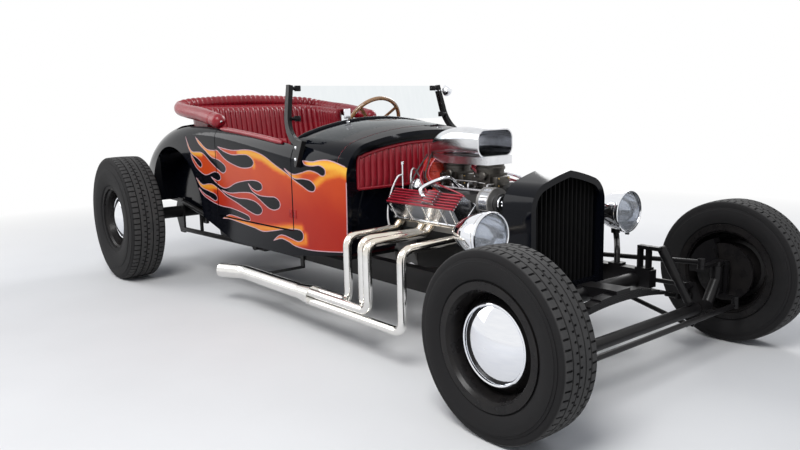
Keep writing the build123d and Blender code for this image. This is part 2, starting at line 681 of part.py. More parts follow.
def pitman_arm():
    """Lever outside the left rail; its foot pin meets the drag link."""
    y0, y1 = DRAG_Y - 32, DRAG_Y - 18
    plate = fuse(
        rod((PITMAN_X, y0, PITMAN_Z), (PITMAN_X, y1, PITMAN_Z), 22.0),
        block(PITMAN_X - 12, PITMAN_X + 12, y0, y1, DRAG_REAR_Z, PITMAN_Z),
        rod((PITMAN_X, y0, DRAG_REAR_Z), (PITMAN_X, y1, DRAG_REAR_Z), 16.0),
    )
    return plate


save("pitman_arm", pitman_arm())


def column_line():
    """Lower and upper ends of the steering column."""
    slope = math.radians(COLUMN_TILT)
    run = PITMAN_X - 40 - WHEEL_X
    low = (PITMAN_X - 40, WHEEL_Y, WHEEL_Z - run * math.tan(slope))
    below = BOSS_DROP + SEAT_GAP
    high = (WHEEL_X + below * math.cos(slope), WHEEL_Y, WHEEL_Z - below * math.sin(slope))
    return low, high


def steering_column():
    """Gearbox on the left rail, its output shaft and the column up to the wheel."""
    column = rod(*column_line(), COLUMN_R)
    box = block(PITMAN_X - 60, PITMAN_X + 50, WHEEL_Y - 36, RAIL_OUT - 4, RAIL_TOP, PITMAN_Z + 42)
    shaft = rod((PITMAN_X, RAIL_OUT - 10, PITMAN_Z), (PITMAN_X, DRAG_Y - 32 - SEAT_GAP, PITMAN_Z), 15.0)
    return fuse(column, box, shaft)


save("steering_column", steering_column())


def steering_wheel():
    """Rim, four flat spokes and hub on the column's axis."""
    slope = math.radians(COLUMN_TILT)
    seat = Plane(origin=(WHEEL_X, WHEEL_Y, WHEEL_Z), x_dir=(0, 1, 0),
                 z_dir=(-math.cos(slope), 0, math.sin(slope)))
    rim = Torus(STEERING_R, STEERING_GRIP_R)
    boss = Pos(0, 0, -BOSS_DROP) * Cylinder(
        24.0, BOSS_DROP + 2, align=(Align.CENTER, Align.CENTER, Align.MIN))
    spokes = [Rot(0, 0, 45 + 90 * turn) * Pos(STEERING_R / 2, 0, -4) * Box(STEERING_R - 8, 20, 4)
              for turn in range(4)]
    return seat * fuse(rim, boss, *spokes)


save("steering_wheel", steering_wheel())


# Radiator shell, core and grille

def shell_face(x, inset, foot):
    """Outline of the radiator shell: straight sides, round shoulders, soft peak."""
    half = SHELL_HALF - inset
    corner = SHELL_CORNER - inset
    peak = SHELL_TOP - inset
    turn = math.radians(75)
    spring_z = SHELL_TOP - SHELL_PEAK_RISE
    arc_mid = (half - corner * (1 - math.cos(turn / 2)), spring_z + corner * math.sin(turn / 2))
    arc_end = (half - corner * (1 - math.cos(turn)), spring_z + corner * math.sin(turn))
    brow = (arc_end[0] / 2, (arc_end[1] + peak) / 2 + 3)
    outline = [
        Line((-half, foot), (half, foot)),
        Line((half, foot), (half, spring_z)),
        ThreePointArc((half, spring_z), arc_mid, arc_end),
        ThreePointArc(arc_end, brow, (0, peak)),
        ThreePointArc((0, peak), (-brow[0], brow[1]), (-arc_end[0], arc_end[1])),
        ThreePointArc((-arc_end[0], arc_end[1]), (-arc_mid[0], arc_mid[1]), (-half, spring_z)),
        Line((-half, spring_z), (-half, foot)),
    ]
    return across(x) * make_face(Curve() + outline)


shell_outer = extrude(shell_face(SHELL_REAR_X, 0, SHELL_FOOT), amount=SHELL_DEPTH)
shell_hollow = extrude(shell_face(SHELL_REAR_X - 1, SHELL_SKIN, SHELL_FOOT + SHELL_SKIN),
                       amount=SHELL_DEPTH - 19)
shell_mouth = extrude(shell_face(SHELL_REAR_X, SHELL_SKIN + LIP, SHELL_FOOT + SHELL_SKIN + LIP),
                      amount=SHELL_DEPTH + 1)
save("radiator_shell", shell_outer - shell_hollow - shell_mouth)

core_room = SHELL_SKIN + SEAT_GAP
core = extrude(shell_face(SHELL_REAR_X + 10, core_room, SHELL_FOOT + core_room), amount=SHELL_DEPTH - 60)
slat_span = SHELL_HALF - SHELL_SKIN - LIP
slats = []
for step in range(SLATS):
    y = -slat_span + (step + 0.5) * 2 * slat_span / SLATS
    slats.append(block(SHELL_FRONT_X - 51, SHELL_FRONT_X - 30, y - 3, y + 3, SHELL_FOOT + 20, SHELL_TOP))
slat_room = extrude(shell_face(SHELL_FRONT_X - 60, core_room, SHELL_FOOT + core_room), amount=40)
slats = [slat & slat_room for slat in slats]
save("radiator_core", fuse(core, *slats))


# Headlamps on curved stands

def lamp_bullet(inset):
    """Solid bullet shape of the lamp body at an inset from its skin."""
    spread = math.radians(52)
    r = LAMP_NOSE_R - inset
    centre = LAMP_NOSE_R - LAMP_LEN
    rim = LAMP_R - inset
    shoulder = (r * math.sin(spread), centre - r * math.cos(spread))
    nose = (r * math.sin(spread / 2), centre - r * math.cos(spread / 2))
    outline = [
        ThreePointArc((0, centre - r), nose, shoulder),
        ThreePointArc(shoulder, (LAMP_R * 0.8 - inset, -LAMP_LEN * 0.5), (rim, -22)),
        Line((rim, -22), (rim, 0)),
        Line((rim, 0), (0, 0)),
        Line((0, 0), (0, centre - r)),
    ]
    shape = revolve(make_face(Curve() + outline), axis=Axis.Y)
    return Pos(LAMP_FRONT_X, -LAMP_Y, LAMP_Z) * Rot(0, 0, -90) * shape


def lamp_bowl():
    """Hollow headlamp body, open at the front."""
    return lamp_bullet(0) - lamp_bullet(LAMP_WALL)


def lamp_lens():
    """Domed lens seated in the mouth of the bowl."""
    edge = LAMP_R - LAMP_WALL - SEAT_GAP
    rise = 12.0
    dome = (edge**2 + rise**2) / (2 * rise)
    half = math.asin(edge / dome) / 2
    outline = [
        Line((0, -6), (edge - 8, -6)),
        Line((edge - 8, -6), (edge, 0)),
        ThreePointArc((edge, 0), (dome * math.sin(half), rise - dome + dome * math.cos(half)), (0, rise)),
        Line((0, rise), (0, -6)),
    ]
    lens = revolve(make_face(Curve() + outline), axis=Axis.Y)
    return Pos(LAMP_FRONT_X - 1, -LAMP_Y, LAMP_Z) * Rot(0, 0, -90) * lens


def lamp_stand():
    """Curved arm from the rail up to the lamp."""
    foot = (LAMP_FRONT_X + 24, -RAIL_Y, RAIL_TOP)
    top = (LAMP_FRONT_X - 62, -LAMP_Y, LAMP_Z - LAMP_R + 4)
    arm = bent_rod([(foot[0], foot[1], foot[2] + 7), (foot[0] - 10, -RAIL_Y - 14, RAIL_TOP + 62),
                    (top[0] + 8, -LAMP_Y, top[2] - 46), top], 30.0, 13.0)
    pad = block(foot[0] - 28, foot[0] + 28, -RAIL_OUT, -RAIL_IN, RAIL_TOP, RAIL_TOP + 10)
    cup = rod((top[0], top[1], top[2] - 14), (top[0], top[1], top[2] + 10), 20.0)
    return fuse(arm, pad, cup) - lamp_bullet(-SEAT_GAP)


save("headlamp_bowls", *both(lamp_bowl()))
save("headlamp_lenses", *both(lamp_lens()))
save("headlamp_stands", *both(lamp_stand()))


# Engine

def bank(across_0, across_1, dist_0, dist_1, x0, x1):
    """Box in the right bank's own axes: across the bank and away from the crank."""
    lean = Rot(BANK_ANGLE, 0, 0)
    shape = block(x0, x1, -across_1, -across_0, dist_0, dist_1)
    return Pos(0, 0, CRANK_Z) * lean * shape


def engine_block():
    """Crankcase, sump, both banks with their heads, and the side mounts."""
    x0, x1 = ENGINE_REAR_X, ENGINE_FRONT_X
    case = extrude(across(x0) * make_face(Polyline(
        (-95, CRANK_Z - 195), (95, CRANK_Z - 195), (140, CRANK_Z - 95), (150, CRANK_Z + 10),
        (110, CRANK_Z + 120), (60, CRANK_Z + 165), (-60, CRANK_Z + 165), (-110, CRANK_Z + 120),
        (-150, CRANK_Z + 10), (-140, CRANK_Z - 95), close=True)), amount=x1 - x0)
    cylinders = bank(-72, 74, 0, DECK_D + 1, x0 + 5, x1 - 5)
    head = bank(-80, HEAD_HALF, DECK_D, HEAD_D, x0 + 12, x1 - 22)
    arm_x = x0 + ENGINE_LEN * 0.5
    arm = block(arm_x - 25, arm_x + 25, -RAIL_IN, -130, RAIL_Z + 6, RAIL_Z + 36)
    return fuse(case, cylinders, left(cylinders), head, left(head), arm, left(arm))


save("engine_block", engine_block())


def valve_cover():
    """Tall cast cover with draught, long fins and a breather box."""
    x0, x1 = COVER_X, COVER_X + COVER_LEN
    profile = Polyline((25, HEAD_D), (-90, HEAD_D), (-90, HEAD_D + 12), (-72, HEAD_D + COVER_H),
                       (8, HEAD_D + COVER_H), (25, HEAD_D + 12), close=True)
    cover = extrude(across(x0) * make_face(profile), amount=x1 - x0)
    fins = []
    for step in range(6):
        y = -68 + step * 14.4
        fins.append(block(x0 + 8, x1 - 8, y - FIN_T / 2, y + FIN_T / 2,
                          HEAD_D + COVER_H - 1, HEAD_D + COVER_H + FIN_H))
    breather_x = x0 + COVER_LEN * 0.58
    breather = block(breather_x, breather_x + 70, -66, 2, HEAD_D + COVER_H - 1, HEAD_D + COVER_H + 26)
    return Pos(0, 0, CRANK_Z) * Rot(BANK_ANGLE, 0, 0) * fuse(cover, *fins, breather)


save("valve_covers", *both(valve_cover()))


def intake():
    """Manifold in the valley with two carburettors on raised flanges."""
    x0, x1 = ENGINE_REAR_X + 30, ENGINE_FRONT_X - 40
    valley = CRANK_Z + 165.0
    body = block(x0, x1, -60, 60, valley, MANIFOLD_TOP - 40)
    top = block(x0 + 30, x1 - 60, -75, 75, MANIFOLD_TOP - 41, MANIFOLD_TOP)
    neck = rod((HOSE_X, 0, MANIFOLD_TOP - 41), (HOSE_X, 0, MANIFOLD_TOP - 8), 17.0)
    parts = [body, top, neck]
    for step in range(2):
        x = CARB_X + CARB_STEP * step
        parts.append(block(x - 62, x + 62, -70, 70, MANIFOLD_TOP - 1, MANIFOLD_TOP + 14))
        parts.append(block(x - 50, x + 50, -55, 55, MANIFOLD_TOP + 13, MANIFOLD_TOP + 95))
        parts.append(block(x - 70, x + 70, -32, 32, MANIFOLD_TOP + 28, MANIFOLD_TOP + 76))
        parts.append(rod((x, 0, MANIFOLD_TOP + 94), (x, 0, CARB_TOP), 62.0))
    return fuse(*parts)


save("intake_manifold", intake())


def scoop():
    """Bullet-shaped air scoop with a rounded rectangular mouth."""
    base_z = CARB_TOP + SCOOP_BASE_T
    # Sections: distance behind the mouth, share of width, share of height, corner radius
    sections = []
    bores = []
    for back, wide, tall, corner in [
        (0, 1.0, 0.94, 46),
        (150, 1.0, 1.0, 52),
        (300, 0.82, 0.78, 44),
        (SCOOP_LEN, 0.36, 0.34, 20),
    ]:
        height = SCOOP_H * tall
        centre = across(SCOOP_FRONT_X - back) * Pos(0, base_z + height / 2, 0)
        sections.append(centre * RectangleRounded(SCOOP_W * wide, height, corner))
        bores.append(centre * RectangleRounded(SCOOP_W * wide - 14, height - 14, corner - 7))
    solid = loft(sections)
    mouth = loft(bores[:3])
    neck_x = CARB_X + CARB_STEP / 2
    base = block(neck_x - 185, neck_x + 165, -78, 78, CARB_TOP + SEAT_GAP, base_z + 8)
    floor_plate = block(neck_x - 150, neck_x + 150, -70, 70, base_z, base_z + 9)
    return fuse(solid - mouth, base, floor_plate)


save("intake_scoop", scoop())


def distributor():
    """Ignition distributor behind the manifold."""
    x = ENGINE_REAR_X + 2.0
    base = rod((x, -6, CRANK_Z + 165 + SEAT_GAP), (x, -6, 690), 26.0)
    bowl = rod((x, -6, 689), (x, -6, 772), 58.0)
    lid = rod((x, -6, 771), (x, -6, 790), 66.0)
    return fuse(base, bowl, lid)


def engine_drive():
    """Water pump, pulleys, belt and alternator on the nose of the engine."""
    x = ENGINE_FRONT_X
    pump_z = CRANK_Z + 140.0
    alt = (-165.0, CRANK_Z + 262.0)
    parts = [
        block(x, x + 34, -95, 95, pump_z - 50, pump_z + 45),
        rod((x + 30, 0, pump_z), (x + 76, 0, pump_z), 36.0),
        rod((x + 56, 0, pump_z), (x + 82, 0, pump_z), 76.0),
        rod((x, 0, CRANK_Z), (x + 50, 0, CRANK_Z), 70.0),
        rod((x + 49, 0, CRANK_Z), (x + 82, 0, CRANK_Z), 80.0),
        rod((x - 16, alt[0], alt[1]), (x + 50, alt[0], alt[1]), 62.0),
        rod((x + 48, alt[0], alt[1]), (x + 82, alt[0], alt[1]), 34.0),
        block(x + 6, x + 26, -110, -60, pump_z, pump_z + 110),
    ]
    return fuse(*parts)


save("distributor", distributor())
save("engine_drive", engine_drive())


def hose():
    """Upper coolant hose from the engine to the radiator."""
    z = MANIFOLD_TOP + 52
    path = [
        (HOSE_X, 0, MANIFOLD_TOP - 8 + SEAT_GAP), (HOSE_X, 0, z - 14),
        (ENGINE_FRONT_X + 52, 0, z), (SHELL_REAR_X + 10 - SEAT_GAP, 0, z),
    ]
    return bent_rod(path, [34.0, 60.0], 17.0)


save("radiator_hose", hose())


def header_side():
    """Four primary tubes, flange, collector, tailpipe and hanger."""
    port_d = 300.0
    lean = math.radians(BANK_ANGLE)

    def off_head(out):
        """Point on a port's axis at a distance from the bank's middle plane."""
        y = -(port_d * math.sin(lean) + out * math.cos(lean))
        return (y, CRANK_Z + port_d * math.cos(lean) - out * math.sin(lean))

    root = off_head(HEAD_HALF + 4)
    neck = off_head(HEAD_HALF + 44)
    x0 = ENGINE_REAR_X
    # Tubes: port station, drop station, drop plane, run height
    tubes = [
        (x0 + 452, x0 + 465, -PIPE_OUT_Y, PIPE_LOW_Z),
        (x0 + 256, x0 + 241, -PIPE_OUT_Y, PIPE_LOW_Z + PIPE_STEP_Z),
        (x0 + 200, x0 + 150, -PIPE_IN_Y, PIPE_LOW_Z),
        (x0 + 42, x0 + 42, -PIPE_IN_Y, PIPE_LOW_Z + PIPE_STEP_Z),
    ]
    parts = []
    for port_x, drop_x, drop_y, run_z in tubes:
        parts.append(bent_rod([
            (port_x, *root), (port_x, *neck), (drop_x, drop_y, neck[1] - 4), (drop_x, drop_y, run_z),
            (COLLECTOR_X, drop_y, run_z),
        ], [30.0, 46.0, 46.0], PIPE_R))
    flange = Pos(0, 0, CRANK_Z) * Rot(BANK_ANGLE, 0, 0) * block(
        x0 + 18, x0 + ENGINE_LEN - 28, -HEAD_HALF - 8, -HEAD_HALF - SEAT_GAP, port_d - 26, port_d + 22)
    mid_y = -(PIPE_OUT_Y + PIPE_IN_Y) / 2
    mid_z = PIPE_LOW_Z + PIPE_STEP_Z / 2
    cone = Plane(origin=(COLLECTOR_X + 20, mid_y, mid_z), z_dir=(-1, 0, 0)) * Cone(
        50.0, TAILPIPE_R, 130.0, align=(Align.CENTER, Align.CENTER, Align.MIN))
    start = (COLLECTOR_X - 100, mid_y, mid_z)
    turn = (TAILPIPE_END_X + 150, mid_y, mid_z)
    end = (TAILPIPE_END_X, mid_y - 66, mid_z)
    pipe = bent_rod([start, turn, end], 120.0, TAILPIPE_R)
    mouth = rod((end[0] + 132, end[1] + 58, end[2]), (end[0] - 20, end[1] - 8.8, end[2]), TAILPIPE_R - 4)
    hanger = block(HANGER_X - 15, HANGER_X + 15, mid_y, -RAIL_OUT, mid_z + 20, mid_z + 28)
    drop = block(HANGER_X - 15, HANGER_X + 15, -RAIL_OUT - 10, -RAIL_OUT, mid_z + 20, RAIL_Z + 10)
    return fuse(*parts, flange, cone, pipe, hanger, drop) - mouth


save("exhaust_pipes", *both(header_side()))


def gearbox():
    """Bell housing, case and tail housing."""
    z = CRANK_Z

    def frustum(x0, x1, r0, r1):
        seat = Plane(origin=(x0, 0, z), z_dir=(-1, 0, 0))
        return seat * Cone(r0, r1, x0 - x1, align=(Align.CENTER, Align.CENTER, Align.MIN))

    bell = frustum(ENGINE_REAR_X, ENGINE_REAR_X - 170, 160, 118)
    case = frustum(ENGINE_REAR_X - 169, ENGINE_REAR_X - 520, 108, 92)
    tail = frustum(ENGINE_REAR_X - 519, GEARBOX_END_X, 66, 46)
    pan = block(ENGINE_REAR_X - 480, ENGINE_REAR_X - 210, -110, 110, z - GEARBOX_PAN_D, z - 60)
    foot = block(FIREWALL_X - 620, FIREWALL_X - 580, -40, 40, RAIL_Z + 14.3, z - 40)
    return fuse(bell, case, tail, pan, foot)


save("gearbox", gearbox())


def driveshaft():
    """Shaft from the gearbox to the axle, with a yoke at each end."""
    start = (GEARBOX_END_X - SEAT_GAP, 0, CRANK_Z)
    end = (REAR_AXLE_X + 200 + SEAT_GAP, 0, REAR_TYRE_R)
    shaft = rod(start, end, 34.0)
    collars = [rod((start[0], 0, start[2]), (start[0] - 50, 0, start[2]), 42.0),
               rod((end[0] + 50, 0, end[2]), (end[0], 0, end[2]), 42.0)]
    return fuse(shaft, *collars)


save("driveshaft", driveshaft())


# Body

def body_face(section, inset, bottom):
    """Closed body section: straight sides, round shoulders and a crowned top."""
    x, half, crown, crown_r, chord = section
    lean = math.asin(chord / crown_r)
    edge_z = crown - crown_r + math.sqrt(crown_r**2 - chord**2)
    corner = (half - chord) / (1 - math.sin(lean))
    mid_y = chord - corner * math.sin(lean)
    mid_z = edge_z - corner * math.cos(lean)
    r = corner - inset
    bisect = (lean + math.pi / 2) / 2
    hip = (half - inset, mid_z)
    round_mid = (mid_y + r * math.sin(bisect), mid_z + r * math.cos(bisect))
    brow = (mid_y + r * math.sin(lean), mid_z + r * math.cos(lean))
    outline = [
        Line((hip[0], bottom), hip),
        ThreePointArc(hip, round_mid, brow),
        ThreePointArc(brow, (0, crown - inset), (-brow[0], brow[1])),
        ThreePointArc((-brow[0], brow[1]), (-round_mid[0], round_mid[1]), (-hip[0], hip[1])),
        Line((-hip[0], hip[1]), (-hip[0], bottom)),
        Line((-hip[0], bottom), (hip[0], bottom)),
    ]
    return across(x) * make_face(Curve() + outline)


def moved(section, x):
    """The same section at another station."""
    return (x,) + section[1:]


envelope = loft([body_face(section, 0, BODY_DEEP) for section in BODY_SECTIONS])
hem = side_plate([(BODY_HEM[0][0], 0)] + BODY_HEM + [(BODY_HEM[-1][0], 0)], -900, 900)
arch = rod((ARCH_X, -900, ARCH_Z), (ARCH_X, -ARCH_DEPTH_Y, ARCH_Z), ARCH_R)
arch_wall = rod((ARCH_X, -900, ARCH_Z), (ARCH_X, -ARCH_DEPTH_Y + SKIN, ARCH_Z), ARCH_R + SKIN)

# Cabin hollow: straight walls, open at the top
cabin_faces = []
for section in [BODY_SECTIONS[1], BODY_SECTIONS[2], moved(BODY_SECTIONS[3], BULKHEAD_X)]:
    half = section[1] - SIDE_WALL
    cabin_faces.append(across(section[0]) * make_face(
        Polyline((-half, 0), (half, 0), (half, 1300), (-half, 1300), close=True)))
cabin = loft(cabin_faces, ruled=True)

cowl_hollow = loft([body_face(moved(BODY_SECTIONS[0], FIREWALL_X + 1), SKIN, 0),
                    body_face(BODY_SECTIONS[1], SKIN, 0)])
cowl_zone = block(COWL_REAR_X, FIREWALL_X, -900, 900, 0, 1300)
door_line = BODY_SECTIONS[1][1] - SIDE_WALL - PANEL_GAP
door_zone = block(DOOR_REAR_X, DOOR_FRONT_X, -900, -door_line, SILL_TOP, 1300)

trunk = loft([body_face(moved(BODY_SECTIONS[3], BULKHEAD_X - SKIN), SKIN, 0),
              body_face(BODY_SECTIONS[4], SKIN, 0),
              body_face(moved(BODY_SECTIONS[5], TAIL_X + SKIN), SKIN, 0)])

lid_zone = block(LID_REAR_X, LID_FRONT_X, -LID_HALF, LID_HALF, 600, 1300)
lid_body = block(LID_REAR_X + PANEL_GAP, LID_FRONT_X - PANEL_GAP, -LID_HALF + PANEL_GAP,
                 LID_HALF - PANEL_GAP, 600, 1300)

tunnel_hole = Plane(origin=(FIREWALL_X + 5, 0, CRANK_Z), z_dir=(-1, 0, 0)) * Cone(
    192.0, 128.0, 860.0, align=(Align.CENTER, Align.CENTER, Align.MIN))
firewall = envelope & block(FIREWALL_X - RECESS - FIREWALL_T, FIREWALL_X - RECESS, -900, 900, 0, 1300)
firewall = firewall - tunnel_hole
column_low, column_high = column_line()
column_bore = rod(column_low, column_high, COLUMN_R + 5)
firewall = firewall - column_bore
cowl = (envelope & cowl_zone) - cowl_hollow
cowl = fuse(cowl, firewall) - door_zone - left(door_zone) - hem
save("cowl", cowl)

tub = envelope - block(COWL_REAR_X, FIREWALL_X + 10, -900, 900, 0, 1300)
tub = tub - (cabin - arch_wall - left(arch_wall)) - (trunk - arch_wall - left(arch_wall))
tray_half = ARCH_DEPTH_Y - SKIN
tub = tub - block(BULKHEAD_X - SKIN - 5, BULKHEAD_X + 5, -tray_half, tray_half, 0, TRAY_Z + 12)
tub = tub - arch - left(arch) - hem - door_zone - left(door_zone) - lid_zone
save("body_shell", tub)

door = envelope & block(DOOR_REAR_X + PANEL_GAP, DOOR_FRONT_X - PANEL_GAP, -900, -300,
                        SILL_TOP + PANEL_GAP, 1300)
door_cavity = extrude(cabin_faces[0], amount=DOOR_FRONT_X + 5 - COWL_REAR_X)
door = door - cabin - door_cavity
hinge_x = DOOR_FRONT_X - PANEL_GAP / 2
door_hinge = rod((hinge_x, -HINGE_Y, SILL_TOP + PANEL_GAP + 6), (hinge_x, -HINGE_Y, 800), HINGE_R)
door_leaf = block(hinge_x - PANEL_GAP, hinge_x, -HINGE_Y - 1.5, -HINGE_Y + 1.5, SILL_TOP + PANEL_GAP + 6, 800)
door = fuse(door, door_hinge, door_leaf)
save("door_right", door)
save("door_left", left(door))

lid = (envelope & lid_body) - trunk
lid_hinge_x = LID_FRONT_X - PANEL_GAP / 2
lid_hinge = rod((lid_hinge_x, -150, LID_HINGE_Z), (lid_hinge_x, 150, LID_HINGE_Z), HINGE_R)
lid_leaf = block(lid_hinge_x - PANEL_GAP, lid_hinge_x, -150, 150, LID_HINGE_Z - 1.5, LID_HINGE_Z + 1.5)
lid = fuse(lid, lid_hinge, lid_leaf)
save("deck_lid", lid)


# Interior

def firewall_panel():
    """Padded panel on the engine side of the firewall."""
    x = FIREWALL_X - RECESS + SEAT_GAP
    pad = extrude(body_face(moved(BODY_SECTIONS[0], x), SKIN + 16, 670), amount=16)
    return pad


save("firewall_panel", firewall_panel())


def floor_pan():
    """Floor on the rails with a tunnel for the gearbox and a raised tray behind the seat."""
    low, high = RAIL_TOP, RAIL_TOP + FLOOR_T
    front = FIREWALL_X - RECESS - FIREWALL_T - 1
    plate = cabin & block(SEAT_FRONT_X, COWL_REAR_X, -900, 900, low, high)
    riser = cabin & block(SEAT_FRONT_X - 12, SEAT_FRONT_X, -900, 900, low, SEAT_PAN_Z + 12)
    pan = cabin & block(KICK_LOW_X + 10, SEAT_FRONT_X, -900, 900, SEAT_PAN_Z, SEAT_PAN_Z + 12)
    pan = pan - arch_wall - left(arch_wall)
    slope = side_plate([
        (KICK_LOW_X + 11, SEAT_PAN_Z), (KICK_LOW_X + 11, SEAT_PAN_Z + 12), (KICK_HIGH_X + 14, TRAY_Z + 12),
        (BULKHEAD_X - SKIN - 1, TRAY_Z + 12), (BULKHEAD_X - SKIN - 1, TRAY_Z), (KICK_HIGH_X + 14, TRAY_Z),
    ], -ARCH_DEPTH_Y + SKIN + 1, ARCH_DEPTH_Y - SKIN - 1)
    tray = trunk & block(TAIL_X, BULKHEAD_X - SKIN, -900, 900, TRAY_Z, TRAY_Z + 12)
    tray = tray - arch_wall - left(arch_wall)
    half = BODY_SECTIONS[1][1] - SIDE_WALL - 40
    plate = fuse(plate, block(COWL_REAR_X - 1, front, -half, half, low, high))
    tunnel = Plane(origin=(front, 0, CRANK_Z), z_dir=(-1, 0, 0)) * Cone(
        208.0, 142.0, 800.0, align=(Align.CENTER, Align.CENTER, Align.MIN))
    tunnel = tunnel & block(-3000, 3000, -300, 300, low, 900)
    shaft_run = (SEAT_FRONT_X - 13, 0, CRANK_Z), (FIREWALL_X - 600, 0, CRANK_Z)
    small = rod(*shaft_run, 66.0) & block(SEAT_FRONT_X - 12, 3000, -300, 300, low, 900)
    return fuse(plate, riser, pan, slope, tray, tunnel, small) - tunnel_hole - rod(*shaft_run, 56.0)


save("floor_pan", floor_pan())


def padded_roll(radius):
    """Fat roll round the rear of the cockpit, ending behind each door."""
    path = ROLL_POINTS + [(x, -y, z) for x, y, z in reversed(ROLL_POINTS[:-1])]
    runs = [rod(a, b, radius) for a, b in zip(path[:-1], path[1:])]
    knees = [Pos(*point) * Sphere(radius) for point in path]
    return fuse(*runs, *knees)


save("padded_roll", padded_roll(ROLL_R))


def seat_cushion():
    """Bench cushion on the seat pan, its heel cut to the slope behind the pan."""
    foot_z = SEAT_PAN_Z + 12 + SEAT_GAP
    slope_x = KICK_LOW_X + 11
    rise = (TRAY_Z - SEAT_PAN_Z) / (slope_x - KICK_HIGH_X - 14)
    heel_z = SEAT_PAN_Z + 12 + rise * (slope_x - CUSHION_REAR_X) + 2 * SEAT_GAP
    cushion = side_plate([
        (SEAT_FRONT_X + 30, foot_z), (SEAT_FRONT_X + 30, CUSHION_TOP), (CUSHION_REAR_X, CUSHION_TOP),
        (CUSHION_REAR_X, heel_z), (slope_x, foot_z),
    ], -CUSHION_HALF, CUSHION_HALF)
    return fillet(cushion.edges().filter_by(Axis.Y).group_by(Axis.Z)[-1], 30)


def back_form(inset):
    """Leaning block with round rear corners, drawn in by an inset."""
    nose_x = BACK_WING_X + 2 * BACK_CORNER
    levels = []
    # The back's rear face at its foot and above its top edge
    for z, rear_x in [(TRAY_Z + 12 + SEAT_GAP, BACK_LOW_X), (ROLL_POINTS[-1][2] + ROLL_R, BACK_TOP_X)]:
        length = nose_x - rear_x - inset
        levels.append(Pos(nose_x - length / 2, 0, z) * RectangleRounded(
            length, 2 * (BACK_HALF - inset), BACK_CORNER - inset))
    return loft(levels, ruled=True)


def seat_back():
    """Back that curves forward at each side, fitted in the roll, the body and the wheel arches."""
    back = back_form(0) - back_form(BACK_T)
    back = back & block(TAIL_X, BACK_WING_X, -BACK_HALF, BACK_HALF, 0, 1300)
    crest = [(x, z + 12) for x, _, z in ROLL_POINTS]
    above = side_plate(crest + [(TAIL_X, crest[-1][1]), (TAIL_X, 1300), (crest[0][0], 1300)], -900, 900)
    skin = loft([body_face(section, -SEAT_GAP, BODY_DEEP) for section in BODY_SECTIONS])
    behind = block(TAIL_X, BULKHEAD_X + SEAT_GAP, -900, 900, 0, 1300)
    room = rod((ARCH_X, -900, ARCH_Z), (ARCH_X, -ARCH_DEPTH_Y + SKIN + SEAT_GAP, ARCH_Z),
               ARCH_R + SKIN + SEAT_GAP)
    return back - above - (skin & behind) - room - left(room) - padded_roll(ROLL_R + SEAT_GAP)


save("seat", seat_cushion(), seat_back())


def windscreen_post():
    """Cast stanchion: slim upright that sweeps forward into a pointed foot."""
    foot_x = COWL_REAR_X + 118.0
    top_x = COWL_REAR_X - 50.0
    outline = [
        Line((top_x - 14, POST_TOP_Z), (top_x + 14, POST_TOP_Z)),
        Line((top_x + 14, POST_TOP_Z), (top_x + 34, 1040)),
        ThreePointArc((top_x + 34, 1040), (top_x + 84, 940), (foot_x + 30, 900)),
        Line((foot_x + 30, 900), (foot_x + 6, 775)),
        Line((foot_x + 6, 775), (foot_x - 8, 775)),
        Line((foot_x - 8, 775), (foot_x - 46, 880)),
        ThreePointArc((foot_x - 46, 880), (top_x + 30, 960), (top_x + 2, 1040)),
        Line((top_x + 2, 1040), (top_x - 14, POST_TOP_Z)),
    ]
    plate = extrude(side(0) * make_face(Curve() + outline), amount=POST_T)
    lean = math.degrees(math.atan(POST_LEAN))
    return Pos(0, -POST_Y, POST_FOOT_Z) * Rot(-lean, 0, 0) * Pos(0, 0, -POST_FOOT_Z) * plate


post = windscreen_post() - envelope
save("windscreen_posts", *both(post))


def windscreen_glass():
    """Flat pane between the posts, raked with them and standing on the cowl."""
    low_x, top_x = COWL_REAR_X - 4.0, COWL_REAR_X - 50.0
    low_half = POST_Y - (SCREEN_LOW_Z - POST_FOOT_Z) * POST_LEAN - SEAT_GAP
    top_half = POST_Y - (SCREEN_TOP_Z - POST_FOOT_Z) * POST_LEAN - SEAT_GAP
    slab = side_plate([
        (low_x, SCREEN_LOW_Z), (low_x + SCREEN_T, SCREEN_LOW_Z),
        (top_x + SCREEN_T, SCREEN_TOP_Z), (top_x, SCREEN_TOP_Z),
    ], -POST_Y, POST_Y)
    outline = Polyline((-low_half, SCREEN_LOW_Z), (low_half, SCREEN_LOW_Z),
                       (top_half, SCREEN_TOP_Z), (-top_half, SCREEN_TOP_Z), close=True)
    return slab & extrude(across(top_x - 10) * make_face(outline), amount=100)


save("windscreen_glass", windscreen_glass() - envelope)


def dash_panel():
    """Instrument panel under the rear edge of the cowl."""
    lining = loft([body_face(moved(BODY_SECTIONS[0], FIREWALL_X + 1), SKIN + SEAT_GAP, 0),
                   body_face(BODY_SECTIONS[1], SKIN + SEAT_GAP, 0)])
    panel = lining & block(COWL_REAR_X + 4, COWL_REAR_X + 16, -500, 500, DASH_LOW_Z, 1000)
    dials = [rod((COWL_REAR_X - 2, WHEEL_Y + side_y, 850), (COWL_REAR_X + 5, WHEEL_Y + side_y, 850), 42.0)
             for side_y in (-330, -230, -60, 50)]
    return fuse(panel, *dials)


save("dash_panel", dash_panel())


def tail_lamp():
    """Round lamp on the tail panel."""
    return rod((TAIL_X - 26, -395, 610), (TAIL_X, -395, 610), 38.0)


save("tail_lamps", *both(tail_lamp()))
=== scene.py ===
"""Dresses the street rod roadster: paint and flames, tuck-and-roll upholstery, tread and engine trim."""

import math

import bmesh
import bpy
from mathutils import Matrix, Vector, noise
from mathutils.bvhtree import BVHTree
from mathutils.geometry import barycentric_transform, delaunay_2d_cdt, intersect_point_line
from mathutils.kdtree import KDTree


